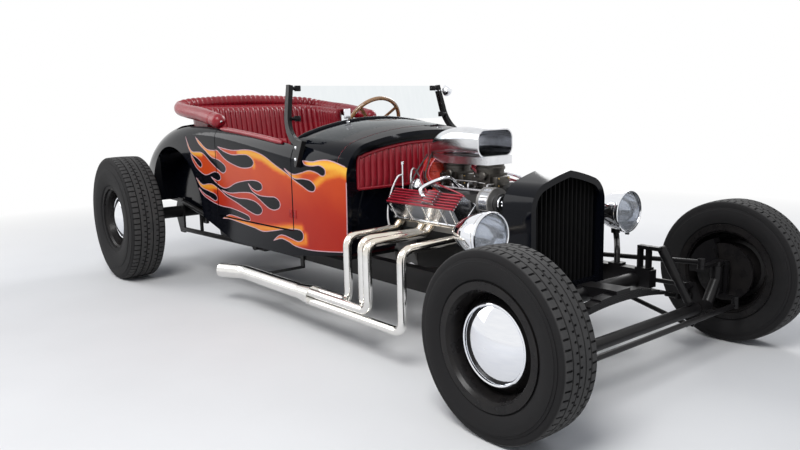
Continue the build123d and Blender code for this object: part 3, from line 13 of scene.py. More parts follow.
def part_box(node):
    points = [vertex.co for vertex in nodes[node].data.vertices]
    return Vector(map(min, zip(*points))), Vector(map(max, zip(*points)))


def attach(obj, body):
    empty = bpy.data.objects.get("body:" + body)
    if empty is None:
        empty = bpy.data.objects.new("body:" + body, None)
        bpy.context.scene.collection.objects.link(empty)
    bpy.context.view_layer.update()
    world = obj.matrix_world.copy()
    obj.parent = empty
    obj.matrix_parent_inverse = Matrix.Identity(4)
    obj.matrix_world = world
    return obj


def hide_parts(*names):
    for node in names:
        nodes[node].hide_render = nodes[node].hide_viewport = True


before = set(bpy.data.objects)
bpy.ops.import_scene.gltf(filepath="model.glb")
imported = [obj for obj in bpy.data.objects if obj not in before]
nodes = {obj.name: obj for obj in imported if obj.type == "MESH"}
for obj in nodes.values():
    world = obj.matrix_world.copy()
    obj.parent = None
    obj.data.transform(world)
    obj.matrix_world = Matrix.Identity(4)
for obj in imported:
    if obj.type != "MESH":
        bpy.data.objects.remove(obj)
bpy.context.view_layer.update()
RIGHT, LEFT = -1, 1
SIDES = {RIGHT: "right", LEFT: "left"}

# Camera at the photograph's place and angle
CAMERA_PLACE = Vector((3.1503, -2.3702, 1.0534))
CAMERA_YAW = 2.4602
CAMERA_PITCH = -0.1616
CAMERA_ROLL = -0.0227
FOCAL_SHARE = 727.78 / 800
SENSOR = 36.0


def place_camera():
    """Camera turned by yaw, pitch and roll about its own place."""
    ahead = Vector((math.cos(CAMERA_YAW) * math.cos(CAMERA_PITCH),
                    math.sin(CAMERA_YAW) * math.cos(CAMERA_PITCH), math.sin(CAMERA_PITCH)))
    level = ahead.cross(Vector((0, 0, 1))).normalized()
    above = level.cross(ahead)
    side = level * math.cos(CAMERA_ROLL) + above * math.sin(CAMERA_ROLL)
    up = above * math.cos(CAMERA_ROLL) - level * math.sin(CAMERA_ROLL)
    data = bpy.data.cameras.new("camera")
    data.sensor_width = SENSOR
    data.lens = SENSOR * FOCAL_SHARE
    camera = bpy.data.objects.new("camera", data)
    turn = Matrix((side, up, -ahead)).transposed().to_4x4()
    camera.matrix_world = Matrix.Translation(CAMERA_PLACE) @ turn
    bpy.context.scene.collection.objects.link(camera)
    bpy.context.scene.camera = camera


class Socket:
    """A value in a material's node tree that takes part in sums as a number does."""

    def __init__(self, tree, plug=None):
        self.tree = tree
        self.plug = plug

    def node(self, kind, settings=None, sockets=None, out=0):
        """Any other node: its settings are set first, then its sockets' values or links."""
        made = self.tree.nodes.new(kind)
        for name, value in (settings or {}).items():
            if name == "stops":
                ramp = made.color_ramp
                while len(ramp.elements) < len(value):
                    ramp.elements.new(1.0)
                for element, (position, tint) in zip(ramp.elements, value):
                    element.position = position
                    element.color = (*tint, 1.0)
            else:
                setattr(made, name, value)
        for name, value in (sockets or {}).items():
            if isinstance(value, Socket):
                self.tree.links.new(value.plug, made.inputs[name])
            else:
                made.inputs[name].default_value = value
        return Socket(self.tree, made.outputs[out])

    def maths(self, operation, *values):
        """A Math node on this value and others."""
        return self.node("ShaderNodeMath", {"operation": operation}, dict(enumerate(values)))

    def __add__(self, other):
        return self.maths("ADD", self, other)

    def __radd__(self, other):
        return self.maths("ADD", other, self)

    def __sub__(self, other):
        return self.maths("SUBTRACT", self, other)

    def __rsub__(self, other):
        return self.maths("SUBTRACT", other, self)

    def __mul__(self, other):
        return self.maths("MULTIPLY", self, other)

    def __rmul__(self, other):
        return self.maths("MULTIPLY", other, self)

    def __truediv__(self, other):
        return self.maths("DIVIDE", self, other)

    def __gt__(self, other):
        return self.maths("GREATER_THAN", self, other)

    def __lt__(self, other):
        return self.maths("LESS_THAN", self, other)

    def clear(self):
        """The value held between 0 and 1."""
        return self.maths("MAXIMUM", self.maths("MINIMUM", self, 1.0), 0.0)

    def axis(self, name):
        """One coordinate of a point."""
        return self.node("ShaderNodeSeparateXYZ", None, {0: self}, name)

    def noise(self, scale, detail=2.0, roughness=0.5):
        """Cloudy noise at so many clouds a metre."""
        return self.node("ShaderNodeTexNoise", None,
                         {"Vector": self, "Scale": scale, "Detail": detail, "Roughness": roughness}, "Fac")

    def cells(self, scale):
        """Distance to the nearest of scattered points."""
        return self.node("ShaderNodeTexVoronoi", None, {"Vector": self, "Scale": scale}, "Distance")

    def stretched(self, scale):
        """The same point in a pattern that is squeezed by so much along each axis."""
        return self.node("ShaderNodeMapping", None, {"Vector": self, "Scale": scale})

    def mixed(self, low, high):
        """A colour between two, by this value."""
        colours = {0: self, 6: colour(low), 7: colour(high)}
        return self.node("ShaderNodeMix", {"data_type": "RGBA"}, colours, 2)

    def bump(self, strength, distance):
        """A normal from this value as a height."""
        return self.node("ShaderNodeBump", None, {"Height": self, "Strength": strength, "Distance": distance})


# Places in metres where one piece changes its finish: carpet to bare plate, pipe to hanger, hot to cool pipe,
# manifold to carburettor, and the height up to which dust lies
FLOOR_TOP_Z = 0.3655
SEAT_UNDER_Z = 0.500
TRAY_UNDER_Z = 0.630
SHEET_FACE = 0.0006
HANGER_X = -0.1685
HANGER_REACH = 0.016
HANGER_OUT = 0.560
PORT_HEAT_Z = 0.42
CARB_FLANGE_Z = 0.6685
DUST_Z = 0.62


def colour(value):
    """A colour with its alpha, or a colour socket as it is."""
    return value if isinstance(value, Socket) else (*value, 1.0)


def finish(name, recipe, **fixed):
    """A material: recipe gives its varying sockets from the point, fixed its plain ones."""
    material = bpy.data.materials.new(name)
    material.use_nodes = True
    tree = material.node_tree
    shader = tree.nodes["Principled BSDF"]
    point = Socket(tree).node("ShaderNodeTexCoord", out="Object")
    for key, value in {**fixed, **recipe(point)}.items():
        socket = shader.inputs[key.replace("_", " ")]
        if isinstance(value, Socket):
            tree.links.new(value.plug, socket)
        else:
            socket.default_value = (*value, 1.0) if isinstance(value, tuple) else value
    return material


def gloss_black(point):
    """Deep black lacquer: blue cast, faint orange peel and a film of dust low down."""
    dust = (DUST_Z - point.axis("Z")).clear() * point.noise(9.0, 4.0)
    return {
        "Base_Color": dust.mixed((0.0020, 0.0026, 0.0050), (0.014, 0.013, 0.012)),
        "Roughness": 0.06 + dust * 0.2 + point.noise(3.0) * 0.03,
        "Normal": point.noise(240.0, 1.0).bump(0.025, 0.002),
    }


def satin_black(point):
    """Sprayed chassis black with road film."""
    film = point.noise(14.0, 5.0)
    return {
        "Base_Color": film.mixed((0.003, 0.003, 0.004), (0.011, 0.010, 0.010)),
        "Roughness": 0.22 + film * 0.25,
        "Normal": point.noise(420.0, 2.0).bump(0.08, 0.001),
    }


def wheel_black(point):
    """Baked enamel on pressed steel with brake dust."""
    film = point.noise(22.0, 4.0)
    return {
        "Base_Color": film.mixed((0.004, 0.004, 0.005), (0.016, 0.014, 0.013)),
        "Roughness": 0.18 + film * 0.22,
        "Normal": point.noise(300.0, 2.0).bump(0.05, 0.001),
    }


def block_black(point):
    """Rough sand casting under semi-gloss paint."""
    grain = point.noise(260.0, 4.0, 0.65)
    film = point.noise(12.0, 3.0)
    return {
        "Base_Color": film.mixed((0.005, 0.005, 0.006), (0.022, 0.020, 0.018)),
        "Roughness": 0.35 + film * 0.25,
        "Normal": grain.bump(0.5, 0.0015),
    }


def chrome(point):
    """Bright plate with faint wipe marks."""
    wipe = point.stretched((1.0, 1.0, 6.0)).noise(18.0, 4.0)
    return {
        "Base_Color": wipe.mixed((0.78, 0.80, 0.85), (0.90, 0.91, 0.93)),
        "Roughness": 0.035 + wipe * 0.05,
        "Normal": point.noise(30.0, 2.0).bump(0.02, 0.002),
    }


def header_nickel(point):
    """Bright plated exhaust tube, straw near the ports, with the tailpipe's hanger painted black."""
    wipe = point.noise(26.0, 4.0)
    out = point.axis("Y")
    along = point.axis("X") - HANGER_X
    hanger = (along * along < HANGER_REACH ** 2) * (out * out < HANGER_OUT ** 2)
    heat = ((point.axis("Z") - PORT_HEAT_Z) * 9.0).clear() * (0.4 + 0.6 * point.noise(11.0, 2.0))
    plain = wipe.mixed((0.74, 0.73, 0.70), (0.90, 0.89, 0.87))
    return {
        "Base_Color": hanger.mixed(heat.mixed(plain, (0.72, 0.62, 0.48)), (0.012, 0.012, 0.012)),
        "Metallic": 1.0 - hanger,
        "Roughness": 0.07 + wipe * 0.09 + hanger * 0.4,
        "Normal": point.noise(45.0, 2.0).bump(0.03, 0.002),
    }


def polished_cast(point):
    """Buffed aluminium casting, cloudy where the buff missed."""
    cloud = point.noise(20.0, 5.0)
    pits = point.noise(380.0, 2.0)
    return {
        "Base_Color": cloud.mixed((0.62, 0.63, 0.66), (0.86, 0.87, 0.89)),
        "Roughness": 0.10 + cloud * 0.16,
        "Normal": pits.bump(0.10, 0.001),
    }


def raw_cast(point):
    """Sand-cast aluminium as it left the mould, stained in its low spots."""
    stain = point.noise(16.0, 5.0)
    grain = point.noise(330.0, 4.0, 0.7)
    return {
        "Base_Color": stain.mixed((0.16, 0.155, 0.15), (0.42, 0.41, 0.40)),
        "Roughness": 0.42 + stain * 0.2,
        "Normal": grain.bump(0.45, 0.0015),
    }


def turned_steel(point):
    """Machined steel with fine tool rings."""
    rings = point.stretched((1.0, 40.0, 1.0)).noise(60.0, 2.0)
    return {
        "Base_Color": rings.mixed((0.30, 0.30, 0.31), (0.52, 0.51, 0.50)),
        "Roughness": 0.25 + rings * 0.2,
        "Normal": rings.bump(0.15, 0.001),
    }


def tyre_rubber(point):
    """Moulded rubber with a dusty, scrubbed crown."""
    dust = point.noise(26.0, 5.0, 0.6)
    crown = point.node("ShaderNodeAttribute", {"attribute_name": "crown"}, None, "Fac").clear()
    wall = dust.mixed((0.005, 0.005, 0.006), (0.014, 0.013, 0.013))
    scrubbed = dust.mixed((0.030, 0.030, 0.031), (0.066, 0.064, 0.062))
    return {
        "Base_Color": crown.mixed(wall, scrubbed),
        "Roughness": 0.66 + dust * 0.22,
        "Normal": point.noise(520.0, 3.0).bump(0.25, 0.001),
    }


def hose_rubber(point):
    """Black hose with the print of its cloth wrap."""
    wrap = point.node("ShaderNodeTexWave", {"wave_type": "BANDS"},
                      {"Vector": point, "Scale": 130.0, "Distortion": 1.0}, "Fac")
    film = point.noise(35.0, 4.0)
    return {
        "Base_Color": film.mixed((0.010, 0.010, 0.011), (0.035, 0.034, 0.033)),
        "Roughness": 0.45 + film * 0.2,
        "Normal": wrap.bump(0.12, 0.001),
    }


def core_black(point):
    """Dull black tube-and-fin core."""
    film = point.noise(40.0, 4.0)
    return {
        "Base_Color": film.mixed((0.003, 0.003, 0.0035), (0.011, 0.011, 0.011)),
        "Roughness": 0.6 + film * 0.25,
    }


def crimson_vinyl(point):
    """Crimson vinyl: fine leather print, a crimson that darkens and lightens at random in broad clouds, and a
    soft gloss.
    """
    cloud = point.noise(7.0, 4.0)
    grain = point.cells(620.0)
    return {
        "Base_Color": cloud.mixed((0.200, 0.004, 0.011), (0.300, 0.008, 0.019)),
        "Roughness": 0.18 + grain * 0.12 + cloud * 0.06,
        "Normal": grain.bump(0.22, 0.0008),
    }


def carpet_red(point):
    """Dark red loop pile on a floor plate that is bare black at its edges and underneath."""
    loops = point.cells(260.0)
    cloud = point.noise(9.0, 3.0)
    shade = (loops * 0.8 + cloud * 0.4).clear()
    pile = shade.mixed((0.030, 0.003, 0.006), (0.110, 0.009, 0.016))
    height = point.axis("Z")
    bare = height < FLOOR_TOP_Z
    for under in (SEAT_UNDER_Z, TRAY_UNDER_Z):
        bare = bare + ((height - under) * (height - under) < SHEET_FACE ** 2)
    return {
        "Base_Color": bare.clear().mixed(pile, (0.010, 0.010, 0.010)),
        "Roughness": 0.9 + cloud * 0.05,
        "Normal": loops.bump(0.8, 0.004),
    }


def rim_wood(point):
    """Varnished wood rim with its grain running round."""
    grain = point.stretched((8.0, 8.0, 60.0)).noise(6.0, 5.0, 0.6)
    return {
        "Base_Color": grain.mixed((0.20, 0.085, 0.035), (0.46, 0.25, 0.11)),
        "Roughness": 0.18 + grain * 0.08,
        "Normal": grain.bump(0.05, 0.001),
    }


def red_cap(point):
    """Glossy orange-red moulded cap, sun-faded in patches."""
    fade = point.noise(30.0, 3.0)
    return {
        "Base_Color": fade.mixed((0.52, 0.030, 0.018), (0.78, 0.085, 0.045)),
        "Roughness": 0.22 + fade * 0.12,
    }


def fin_red(point):
    """Red enamel between polished fins."""
    wear = point.noise(60.0, 4.0)
    return {
        "Base_Color": wear.mixed((0.27, 0.008, 0.020), (0.46, 0.020, 0.042)),
        "Roughness": 0.24 + wear * 0.15,
        "Normal": point.noise(300.0, 2.0).bump(0.08, 0.001),
    }


def braided_steel(point):
    """Woven stainless sleeve."""
    weave = point.cells(900.0)
    return {
        "Base_Color": weave.mixed((0.42, 0.42, 0.43), (0.72, 0.72, 0.74)),
        "Roughness": 0.28 + weave * 0.25,
        "Normal": weave.bump(0.6, 0.0008),
    }


def lens_ribs(point):
    """Clear pressed glass with upright flutes across the lens."""
    flutes = point.maths("SINE", point.axis("Y") * 420.0)
    return {
        "Base_Color": (0.88, 0.91, 0.95),
        "Roughness": 0.03 + point.noise(40.0) * 0.03,
        "Normal": flutes.bump(0.07, 0.002),
    }


def screen_tint(point):
    """Faintly smoked flat glass with wipe marks."""
    wipe = point.stretched((1.0, 5.0, 1.0)).noise(9.0, 4.0)
    return {
        "Base_Color": wipe.mixed((0.82, 0.86, 0.88), (0.90, 0.93, 0.94)),
        "Roughness": 0.02 + wipe * 0.04,
    }


def lens_red(point):
    """Ruby lens with pressed beads."""
    beads = point.cells(180.0)
    return {
        "Base_Color": beads.mixed((0.30, 0.004, 0.006), (0.60, 0.012, 0.014)),
        "Roughness": 0.10 + beads * 0.1,
        "Normal": beads.bump(0.4, 0.002),
    }


def dial_white(point):
    """Cream printed dial card."""
    age = point.noise(50.0, 3.0)
    return {
        "Base_Color": age.mixed((0.70, 0.67, 0.58), (0.84, 0.82, 0.75)),
        "Roughness": 0.4 + age * 0.1,
    }


def brass(point):
    """Tarnished brass fitting."""
    tarnish = point.noise(60.0, 4.0)
    return {
        "Base_Color": tarnish.mixed((0.32, 0.20, 0.07), (0.72, 0.52, 0.22)),
        "Roughness": 0.22 + tarnish * 0.25,
    }


def flame_fade(point):
    """Airbrushed flame: crimson through orange to yellow by the heat laid on the surface."""
    heat = point.node("ShaderNodeAttribute", {"attribute_name": "glow"}, None, "Fac")
    drift = (point.noise(7.0, 3.0) - 0.5) * 0.12
    shade = (heat + drift).clear()
    ramp = shade.node("ShaderNodeValToRGB", {"stops": [
        (0.0, (0.300, 0.006, 0.004)), (0.2, (0.390, 0.022, 0.006)), (0.45, (0.560, 0.070, 0.010)),
        (0.7, (0.700, 0.220, 0.018)), (1.0, (0.800, 0.440, 0.050))]}, {"Fac": shade}, "Color")
    return {
        "Base_Color": ramp,
        "Roughness": 0.12 + point.noise(3.0) * 0.05,
        "Normal": point.noise(240.0, 1.0).bump(0.025, 0.002),
    }


def pinstripe_paint(point):
    """Pale mauve enamel line laid by brush."""
    pull = point.noise(60.0, 3.0)
    return {
        "Base_Color": pull.mixed((0.46, 0.26, 0.30), (0.62, 0.40, 0.42)),
        "Roughness": 0.16 + pull * 0.1,
    }


def carb_and_manifold(point):
    """Cast manifold below, dark zinc carburettors above their flange."""
    height = point.axis("Z")
    above = height > CARB_FLANGE_Z
    cloud = point.noise(24.0, 5.0)
    alloy = cloud.mixed((0.34, 0.34, 0.35), (0.62, 0.62, 0.64))
    zinc = cloud.mixed((0.030, 0.028, 0.026), (0.120, 0.112, 0.100))
    return {
        "Base_Color": above.mixed(alloy, zinc),
        "Roughness": 0.22 + cloud * 0.2 + above * 0.12,
        "Normal": point.noise(300.0, 3.0).bump(0.2, 0.001),
    }


def dark_zinc(point):
    """Die-cast zinc gone dark with fuel and heat."""
    stain = point.noise(40.0, 5.0, 0.6)
    return {
        "Base_Color": stain.mixed((0.028, 0.026, 0.024), (0.150, 0.140, 0.125)),
        "Roughness": 0.30 + stain * 0.25,
        "Normal": point.noise(380.0, 2.0).bump(0.25, 0.001),
    }


def buffed_cover(point):
    """Buffed cover, greyer than plate, with draw marks along it."""
    draw = point.stretched((2.0, 40.0, 40.0)).noise(8.0, 4.0)
    return {
        "Base_Color": draw.mixed((0.30, 0.31, 0.33), (0.56, 0.57, 0.60)),
        "Roughness": 0.12 + draw * 0.14,
        "Normal": point.noise(300.0, 2.0).bump(0.05, 0.001),
    }


def soot(point):
    """Dry black soot."""
    crust = point.noise(90.0, 4.0)
    return {
        "Base_Color": crust.mixed((0.004, 0.004, 0.004), (0.020, 0.018, 0.016)),
        "Roughness": 0.85 + crust * 0.1,
    }


BLACK = finish("gloss black lacquer", gloss_black, Specular_IOR_Level=0.14)
POST_BLACK = finish("stanchion black", satin_black, Specular_IOR_Level=0.16)
FRAME_BLACK = finish("satin chassis black", satin_black, Specular_IOR_Level=0.2)
WHEEL_BLACK = finish("wheel enamel", wheel_black, Specular_IOR_Level=0.2)
BLOCK_BLACK = finish("painted iron casting", block_black, Specular_IOR_Level=0.25)
CHROME = finish("chrome plate", chrome, Metallic=1.0)
HEADER = finish("header nickel", header_nickel)
POLISHED = finish("polished casting", polished_cast, Metallic=1.0)
CAST = finish("raw casting", raw_cast, Metallic=0.85)
STEEL = finish("turned steel", turned_steel, Metallic=1.0)
RUBBER = finish("tyre rubber", tyre_rubber, Specular_IOR_Level=0.22)
HOSE = finish("hose rubber", hose_rubber)
CORE = finish("radiator core black", core_black, Specular_IOR_Level=0.12)
VINYL = finish("crimson vinyl", crimson_vinyl, Specular_IOR_Level=0.36, Coat_Weight=0.12,
               Coat_Roughness=0.1)
CARPET = finish("red loop carpet", carpet_red, Specular_IOR_Level=0.1)
WOOD = finish("varnished rim wood", rim_wood, Coat_Weight=0.8, Coat_Roughness=0.06)
RED_CAP = finish("orange red cap", red_cap)
FIN_RED = finish("red fin enamel", fin_red)
BRAID = finish("braided steel", braided_steel, Metallic=1.0)
LENS = finish("fluted lamp glass", lens_ribs, Transmission_Weight=0.82, IOR=1.3)
SCREEN = finish("tinted screen glass", screen_tint, Transmission_Weight=1.0, IOR=1.03,
                Specular_IOR_Level=0.5)
RED_LENS = finish("ruby lens", lens_red, Coat_Weight=0.6)
DIAL = finish("dial card", dial_white)
BRASS = finish("tarnished brass", brass, Metallic=1.0)
MANIFOLD = finish("manifold and carburettors", carb_and_manifold, Metallic=1.0)
DARK_ZINC = finish("dark zinc", dark_zinc, Metallic=0.9)
COVER_ALLOY = finish("buffed cover", buffed_cover, Metallic=1.0)
SOOT = finish("exhaust soot", soot, Specular_IOR_Level=0.1)
FLAME = finish("airbrushed flame", flame_fade, Specular_IOR_Level=0.2)
PINSTRIPE = finish("mauve pinstripe", pinstripe_paint, Specular_IOR_Level=0.3)

# The finish of each solid piece
NODE_FINISH = {
    "cowl": BLACK, "body_shell": BLACK, "door_right": BLACK, "door_left": BLACK, "deck_lid": BLACK,
    "radiator_shell": BLACK, "windscreen_posts": POST_BLACK, "dash_panel": BLACK,
    "frame_rail_right": FRAME_BLACK, "frame_rail_left": FRAME_BLACK, "crossmembers": FRAME_BLACK,
    "front_axle": FRAME_BLACK, "front_spring": FRAME_BLACK, "radius_rods": FRAME_BLACK,
    "rear_axle": FRAME_BLACK, "headlamp_stands": FRAME_BLACK,
    "knuckle_right": FRAME_BLACK, "knuckle_left": FRAME_BLACK,
    "tie_rod": FRAME_BLACK, "drag_link": FRAME_BLACK, "pitman_arm": FRAME_BLACK, "driveshaft": FRAME_BLACK,
    "wheel_front_right": WHEEL_BLACK, "wheel_front_left": WHEEL_BLACK,
    "wheel_rear_right": WHEEL_BLACK, "wheel_rear_left": WHEEL_BLACK,
    "cap_front_right": CHROME, "cap_front_left": CHROME, "cap_rear_right": CHROME, "cap_rear_left": CHROME,
    "tyre_front_right": RUBBER, "tyre_front_left": RUBBER,
    "tyre_rear_right": RUBBER, "tyre_rear_left": RUBBER,
    "shock_absorbers": FRAME_BLACK, "steering_column": CHROME, "steering_wheel": WOOD,
    "radiator_core": CORE, "headlamp_bowls": CHROME, "headlamp_lenses": LENS,
    "engine_block": BLOCK_BLACK, "valve_covers": COVER_ALLOY,
    "intake_manifold": MANIFOLD, "intake_scoop": POLISHED,
    "distributor": RED_CAP, "engine_drive": COVER_ALLOY, "radiator_hose": HOSE, "exhaust_pipes": HEADER,
    "gearbox": CAST, "firewall_panel": VINYL, "floor_pan": CARPET, "seat": VINYL, "padded_roll": VINYL,
    "windscreen_glass": SCREEN, "tail_lamps": RED_LENS,
}


def dress_nodes():
    """Give each solid piece its finish."""
    for name, node in nodes.items():
        node.data.materials.clear()
        node.data.materials.append(NODE_FINISH[name])


def gather(name, shape, material, body, replaced=(), crease=0.6):
    """Make a piece of a bmesh: outward normals, its finish, and the body it rides on."""
    bmesh.ops.recalc_face_normals(shape, faces=shape.faces)
    mesh = bpy.data.meshes.new(name)
    shape.to_mesh(mesh)
    shape.free()
    return placed(name, mesh, material, body, replaced, crease)


def placed(name, mesh, material, body, replaced, crease):
    """Put a finished mesh in the scene."""
    mesh.materials.clear()
    mesh.materials.append(material)
    for face in mesh.polygons:
        face.use_smooth = True
    mesh.set_sharp_from_angle(angle=crease)
    piece = bpy.data.objects.new(name, mesh)
    bpy.context.scene.collection.objects.link(piece)
    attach(piece, body)
    if replaced:
        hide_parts(*replaced)
    return piece


def facing(start, end):
    """Matrix that stands a shape made along Z between two points."""
    start, end = Vector(start), Vector(end)
    turn = (end - start).to_track_quat("Z", "Y").to_matrix().to_4x4()
    return Matrix.Translation((start + end) / 2) @ turn


def bar(shape, start, end, radius, end_radius=None, sides=16):
    """Add a round bar between two points."""
    bmesh.ops.create_cone(shape, cap_ends=True, segments=sides, radius1=radius,
                          radius2=radius if end_radius is None else end_radius,
                          depth=(Vector(end) - Vector(start)).length, matrix=facing(start, end))


def slab(shape, low, high, turn, bevel, segments):
    """Add a block between two corners with its edges rounded, and turn it by a matrix if there is one."""
    low, high = Vector(low), Vector(high)
    scale = Matrix.Diagonal((*(high - low), 1.0))
    made = bmesh.ops.create_cube(shape, size=1.0, matrix=Matrix.Translation((low + high) / 2) @ scale)
    corners = made["verts"]
    edges = list({edge for corner in corners for edge in corner.link_edges})
    result = bmesh.ops.bevel(shape, geom=edges, offset=bevel, affect="EDGES", segments=segments,
                             profile=0.5, material=-1, clamp_overlap=True)
    corners = list({corner for face in result["faces"] for corner in face.verts}
                   | {corner for corner in corners if corner.is_valid})
    if turn is not None:
        bmesh.ops.transform(shape, matrix=turn, verts=corners)


def lathe(shape, outline, start, ahead, steps):
    """Spin an outline of radius and offset pairs about an axis from a start point."""
    seat = Matrix.Translation(Vector(start)) @ Vector(ahead).to_track_quat("Z", "Y").to_matrix().to_4x4()
    corners = [shape.verts.new(seat @ Vector((radius, 0, offset))) for radius, offset in outline]
    edges = [shape.edges.new(pair) for pair in zip(corners[:-1], corners[1:])]
    bmesh.ops.spin(shape, geom=corners + edges, cent=seat.translation, axis=seat.to_3x3() @ Vector((0, 0, 1)),
                   angle=math.tau, steps=steps, use_merge=True, use_duplicate=False)
    bmesh.ops.remove_doubles(shape, verts=shape.verts, dist=1e-6)


def smoothed(points, steps):
    """Points along a smooth line through given ones."""
    points = [Vector(point) for point in points]
    last = len(points) - 1
    line = []
    for index in range(last):
        p1, p2 = points[index], points[index + 1]
        p0 = points[index - 1] if index else p1 * 2 - p2
        p3 = points[index + 2] if index + 1 < last else p2 * 2 - p1
        for step in range(steps):
            t = step / steps
            line.append(0.5 * (2 * p1 + (p2 - p0) * t + (2 * p0 - 5 * p1 + 4 * p2 - p3) * t ** 2
                               + (3 * p1 - p0 - 3 * p2 + p3) * t ** 3))
    line.append(points[-1])
    return line


def tube(shape, line, radius, sides):
    """Add a tube round a line of points; radius is a number or one for each point."""
    count = len(line)
    radii = [radius] * count if isinstance(radius, float) else radius
    aims = [(line[min(index + 1, count - 1)] - line[max(index - 1, 0)]).normalized()
            for index in range(count)]
    across = aims[0].orthogonal().normalized()
    rings = []
    for point, aim, size in zip(line, aims, radii):
        across = (across - aim * across.dot(aim)).normalized()
        up = aim.cross(across)
        rings.append([point + (across * math.cos(turn) + up * math.sin(turn)) * size
                      for turn in (math.tau * side / sides for side in range(sides))])
    made = bmesh.ops.create_grid(shape, x_segments=sides, y_segments=count - 1, size=1.0)["verts"]
    for corner in made:
        side = round((corner.co.x + 1) / 2 * sides)
        ring = round((corner.co.y + 1) / 2 * (count - 1))
        corner.co = rings[ring][side % sides]
    bmesh.ops.remove_doubles(shape, verts=made, dist=1e-6)
    bmesh.ops.holes_fill(shape, edges=[edge for edge in shape.edges if edge.is_boundary], sides=0)


def wire(name, points, radius, material, body, steps, sides):
    """Make a bent pipe as one piece."""
    shape = bmesh.new()
    tube(shape, smoothed(points, steps), radius, sides)
    gather(name, shape, material, body)


# Starts of rays in metres, clear above and beside the car
ABOVE_ALL_Z = 1.6
OUTSIDE_Y = 1.2


def surface(*names):
    """Search tree of solid pieces' faces, with their corners' points and normals."""
    points, faces, normals = [], [], []
    for name in names:
        mesh = nodes[name].data
        first = len(points)
        points.extend(vertex.co.copy() for vertex in mesh.vertices)
        corner_normals = mesh.corner_normals
        for face in mesh.polygons:
            faces.append([first + index for index in face.vertices])
            normals.append([corner_normals[loop].vector.copy() for loop in face.loop_indices])
    return BVHTree.FromPolygons(points, faces), points, faces, normals


def drop(skin, x, y):
    """Height of a surface under a point."""
    hit = skin[0].ray_cast(Vector((x, y, ABOVE_ALL_Z)), Vector((0, 0, -1)))
    return hit[0].z


def seen_from_side(skin, x, z, hand):
    """Point and smooth normal where a sideways ray from outside meets a surface."""
    tree, points, faces, normals = skin
    place, _, index, _ = tree.ray_cast(Vector((x, hand * OUTSIDE_Y, z)), Vector((0, -hand, 0)))
    if place is None:
        return None
    a, b, c = (points[corner] for corner in faces[index])
    normal = barycentric_transform(place, a, b, c, *normals[index]).normalized()
    return place, normal


# Upholstery, in metres
SOFT_CREASE = 1.2
PLEAT_PITCH = 0.036
PLEAT_CROWN = 0.013
# Pleat outline: share of the pitch, share of the crown
PLEAT = [(0.0, 0.0), (0.07, 0.50), (0.2, 0.84), (0.5, 1.0), (0.8, 0.84), (0.93, 0.50)]
SEAT_FOOT_Z = 0.644
BACK_HALF = 0.428
BACK_CORNER = 0.108
BACK_FOOT_X = -1.1905
BACK_HEAD_X = -1.2785
BACK_WING_X = -0.958
BACK_HEAD_Z = 1.154
BACK_MID_Z = 0.9
BACK_LOW_Z = 0.75
BACK_THICK = 0.058
BACK_EDGE = 0.036
BACK_END = 0.024
UNDER_ROOM = 0.002
ARCH_PLACE = Vector((-1.3505, 0, 0.385))
ARCH_ROOM = 0.474
ARCH_INNER_Y = 0.400
BULKHEAD_X = -1.292
BODY_CREST_Z = 1.008
ROLL_LINE = [(-0.7195, 0.538, 0.9956), (-0.9395, 0.538, 1.0316), (-1.2705, 0.520, 1.068),
             (-1.3605, 0.400, 1.096), (-1.3805, 0.0, 1.112)]
ROLL_R = 0.042
ROLL_PLAIN = 0.60
ROLL_PLAIN_INSIDE = 0.30
ROLL_SEAM = 0.0095
ROLL_CUFF = 0.055
ROLL_END = 0.040
# Rounded end of the roll: share of its length, radius
ROLL_DOMES = [(1.0, 0.001), (0.93, 0.015), (0.78, 0.0255), (0.55, 0.0345), (0.28, 0.040)]
BUTTON = [(0.0, 0.0035), (0.005, 0.0030), (0.0085, 0.0012), (0.0095, -0.002)]
PAD_HALF = 0.418
PAD_ROOM = 0.020
PAD_BORDER = 0.004


def crest(x):
    """Height of the seat back's top edge at a station, level with the roll."""
    for (x0, _, z0), (x1, _, z1) in zip(ROLL_LINE[:-1], ROLL_LINE[1:]):
        if x >= x1:
            return z0 + (z1 - z0) * (x0 - x) / (x0 - x1) + 0.011
    return ROLL_LINE[-1][2]


def back_run(share, z, inset):
    """Point in plan on the seat back's inner face, pushed back by an inset."""
    lean = (z - SEAT_FOOT_Z) / (BACK_HEAD_Z - SEAT_FOOT_Z)
    rear = BACK_FOOT_X + (BACK_HEAD_X - BACK_FOOT_X) * lean
    wing = BACK_WING_X - (BACK_HEAD_X + BACK_CORNER)
    bend = BACK_CORNER * math.pi / 2
    flat = BACK_HALF - BACK_CORNER
    total = wing + bend + flat
    along = abs(share * 2 - 1) * total
    hand = -1 if share < 0.5 else 1
    if along < flat:
        x, y, out = rear, along, Vector((-1, 0, 0))
    elif along < flat + bend:
        turn = (along - flat) / BACK_CORNER
        out = Vector((-math.cos(turn), math.sin(turn), 0))
        x, y = rear + BACK_CORNER + out.x * BACK_CORNER, flat + out.y * BACK_CORNER
    else:
        x = rear + BACK_CORNER + (along - flat - bend) / wing * (BACK_WING_X - rear - BACK_CORNER)
        y, out = BACK_HALF, Vector((0, 1, 0))
    return Vector((x + out.x * inset, hand * (y + out.y * inset), 0)), total


def foot_of(place):
    """Lowest height of the upholstery at a point in plan: tray or wheel arch."""
    reach = ARCH_ROOM ** 2 - (place.x - ARCH_PLACE.x) ** 2
    if abs(place.y) > ARCH_INNER_Y and reach > 0:
        return max(SEAT_FOOT_Z, ARCH_PLACE.z + math.sqrt(reach))
    return SEAT_FOOT_Z


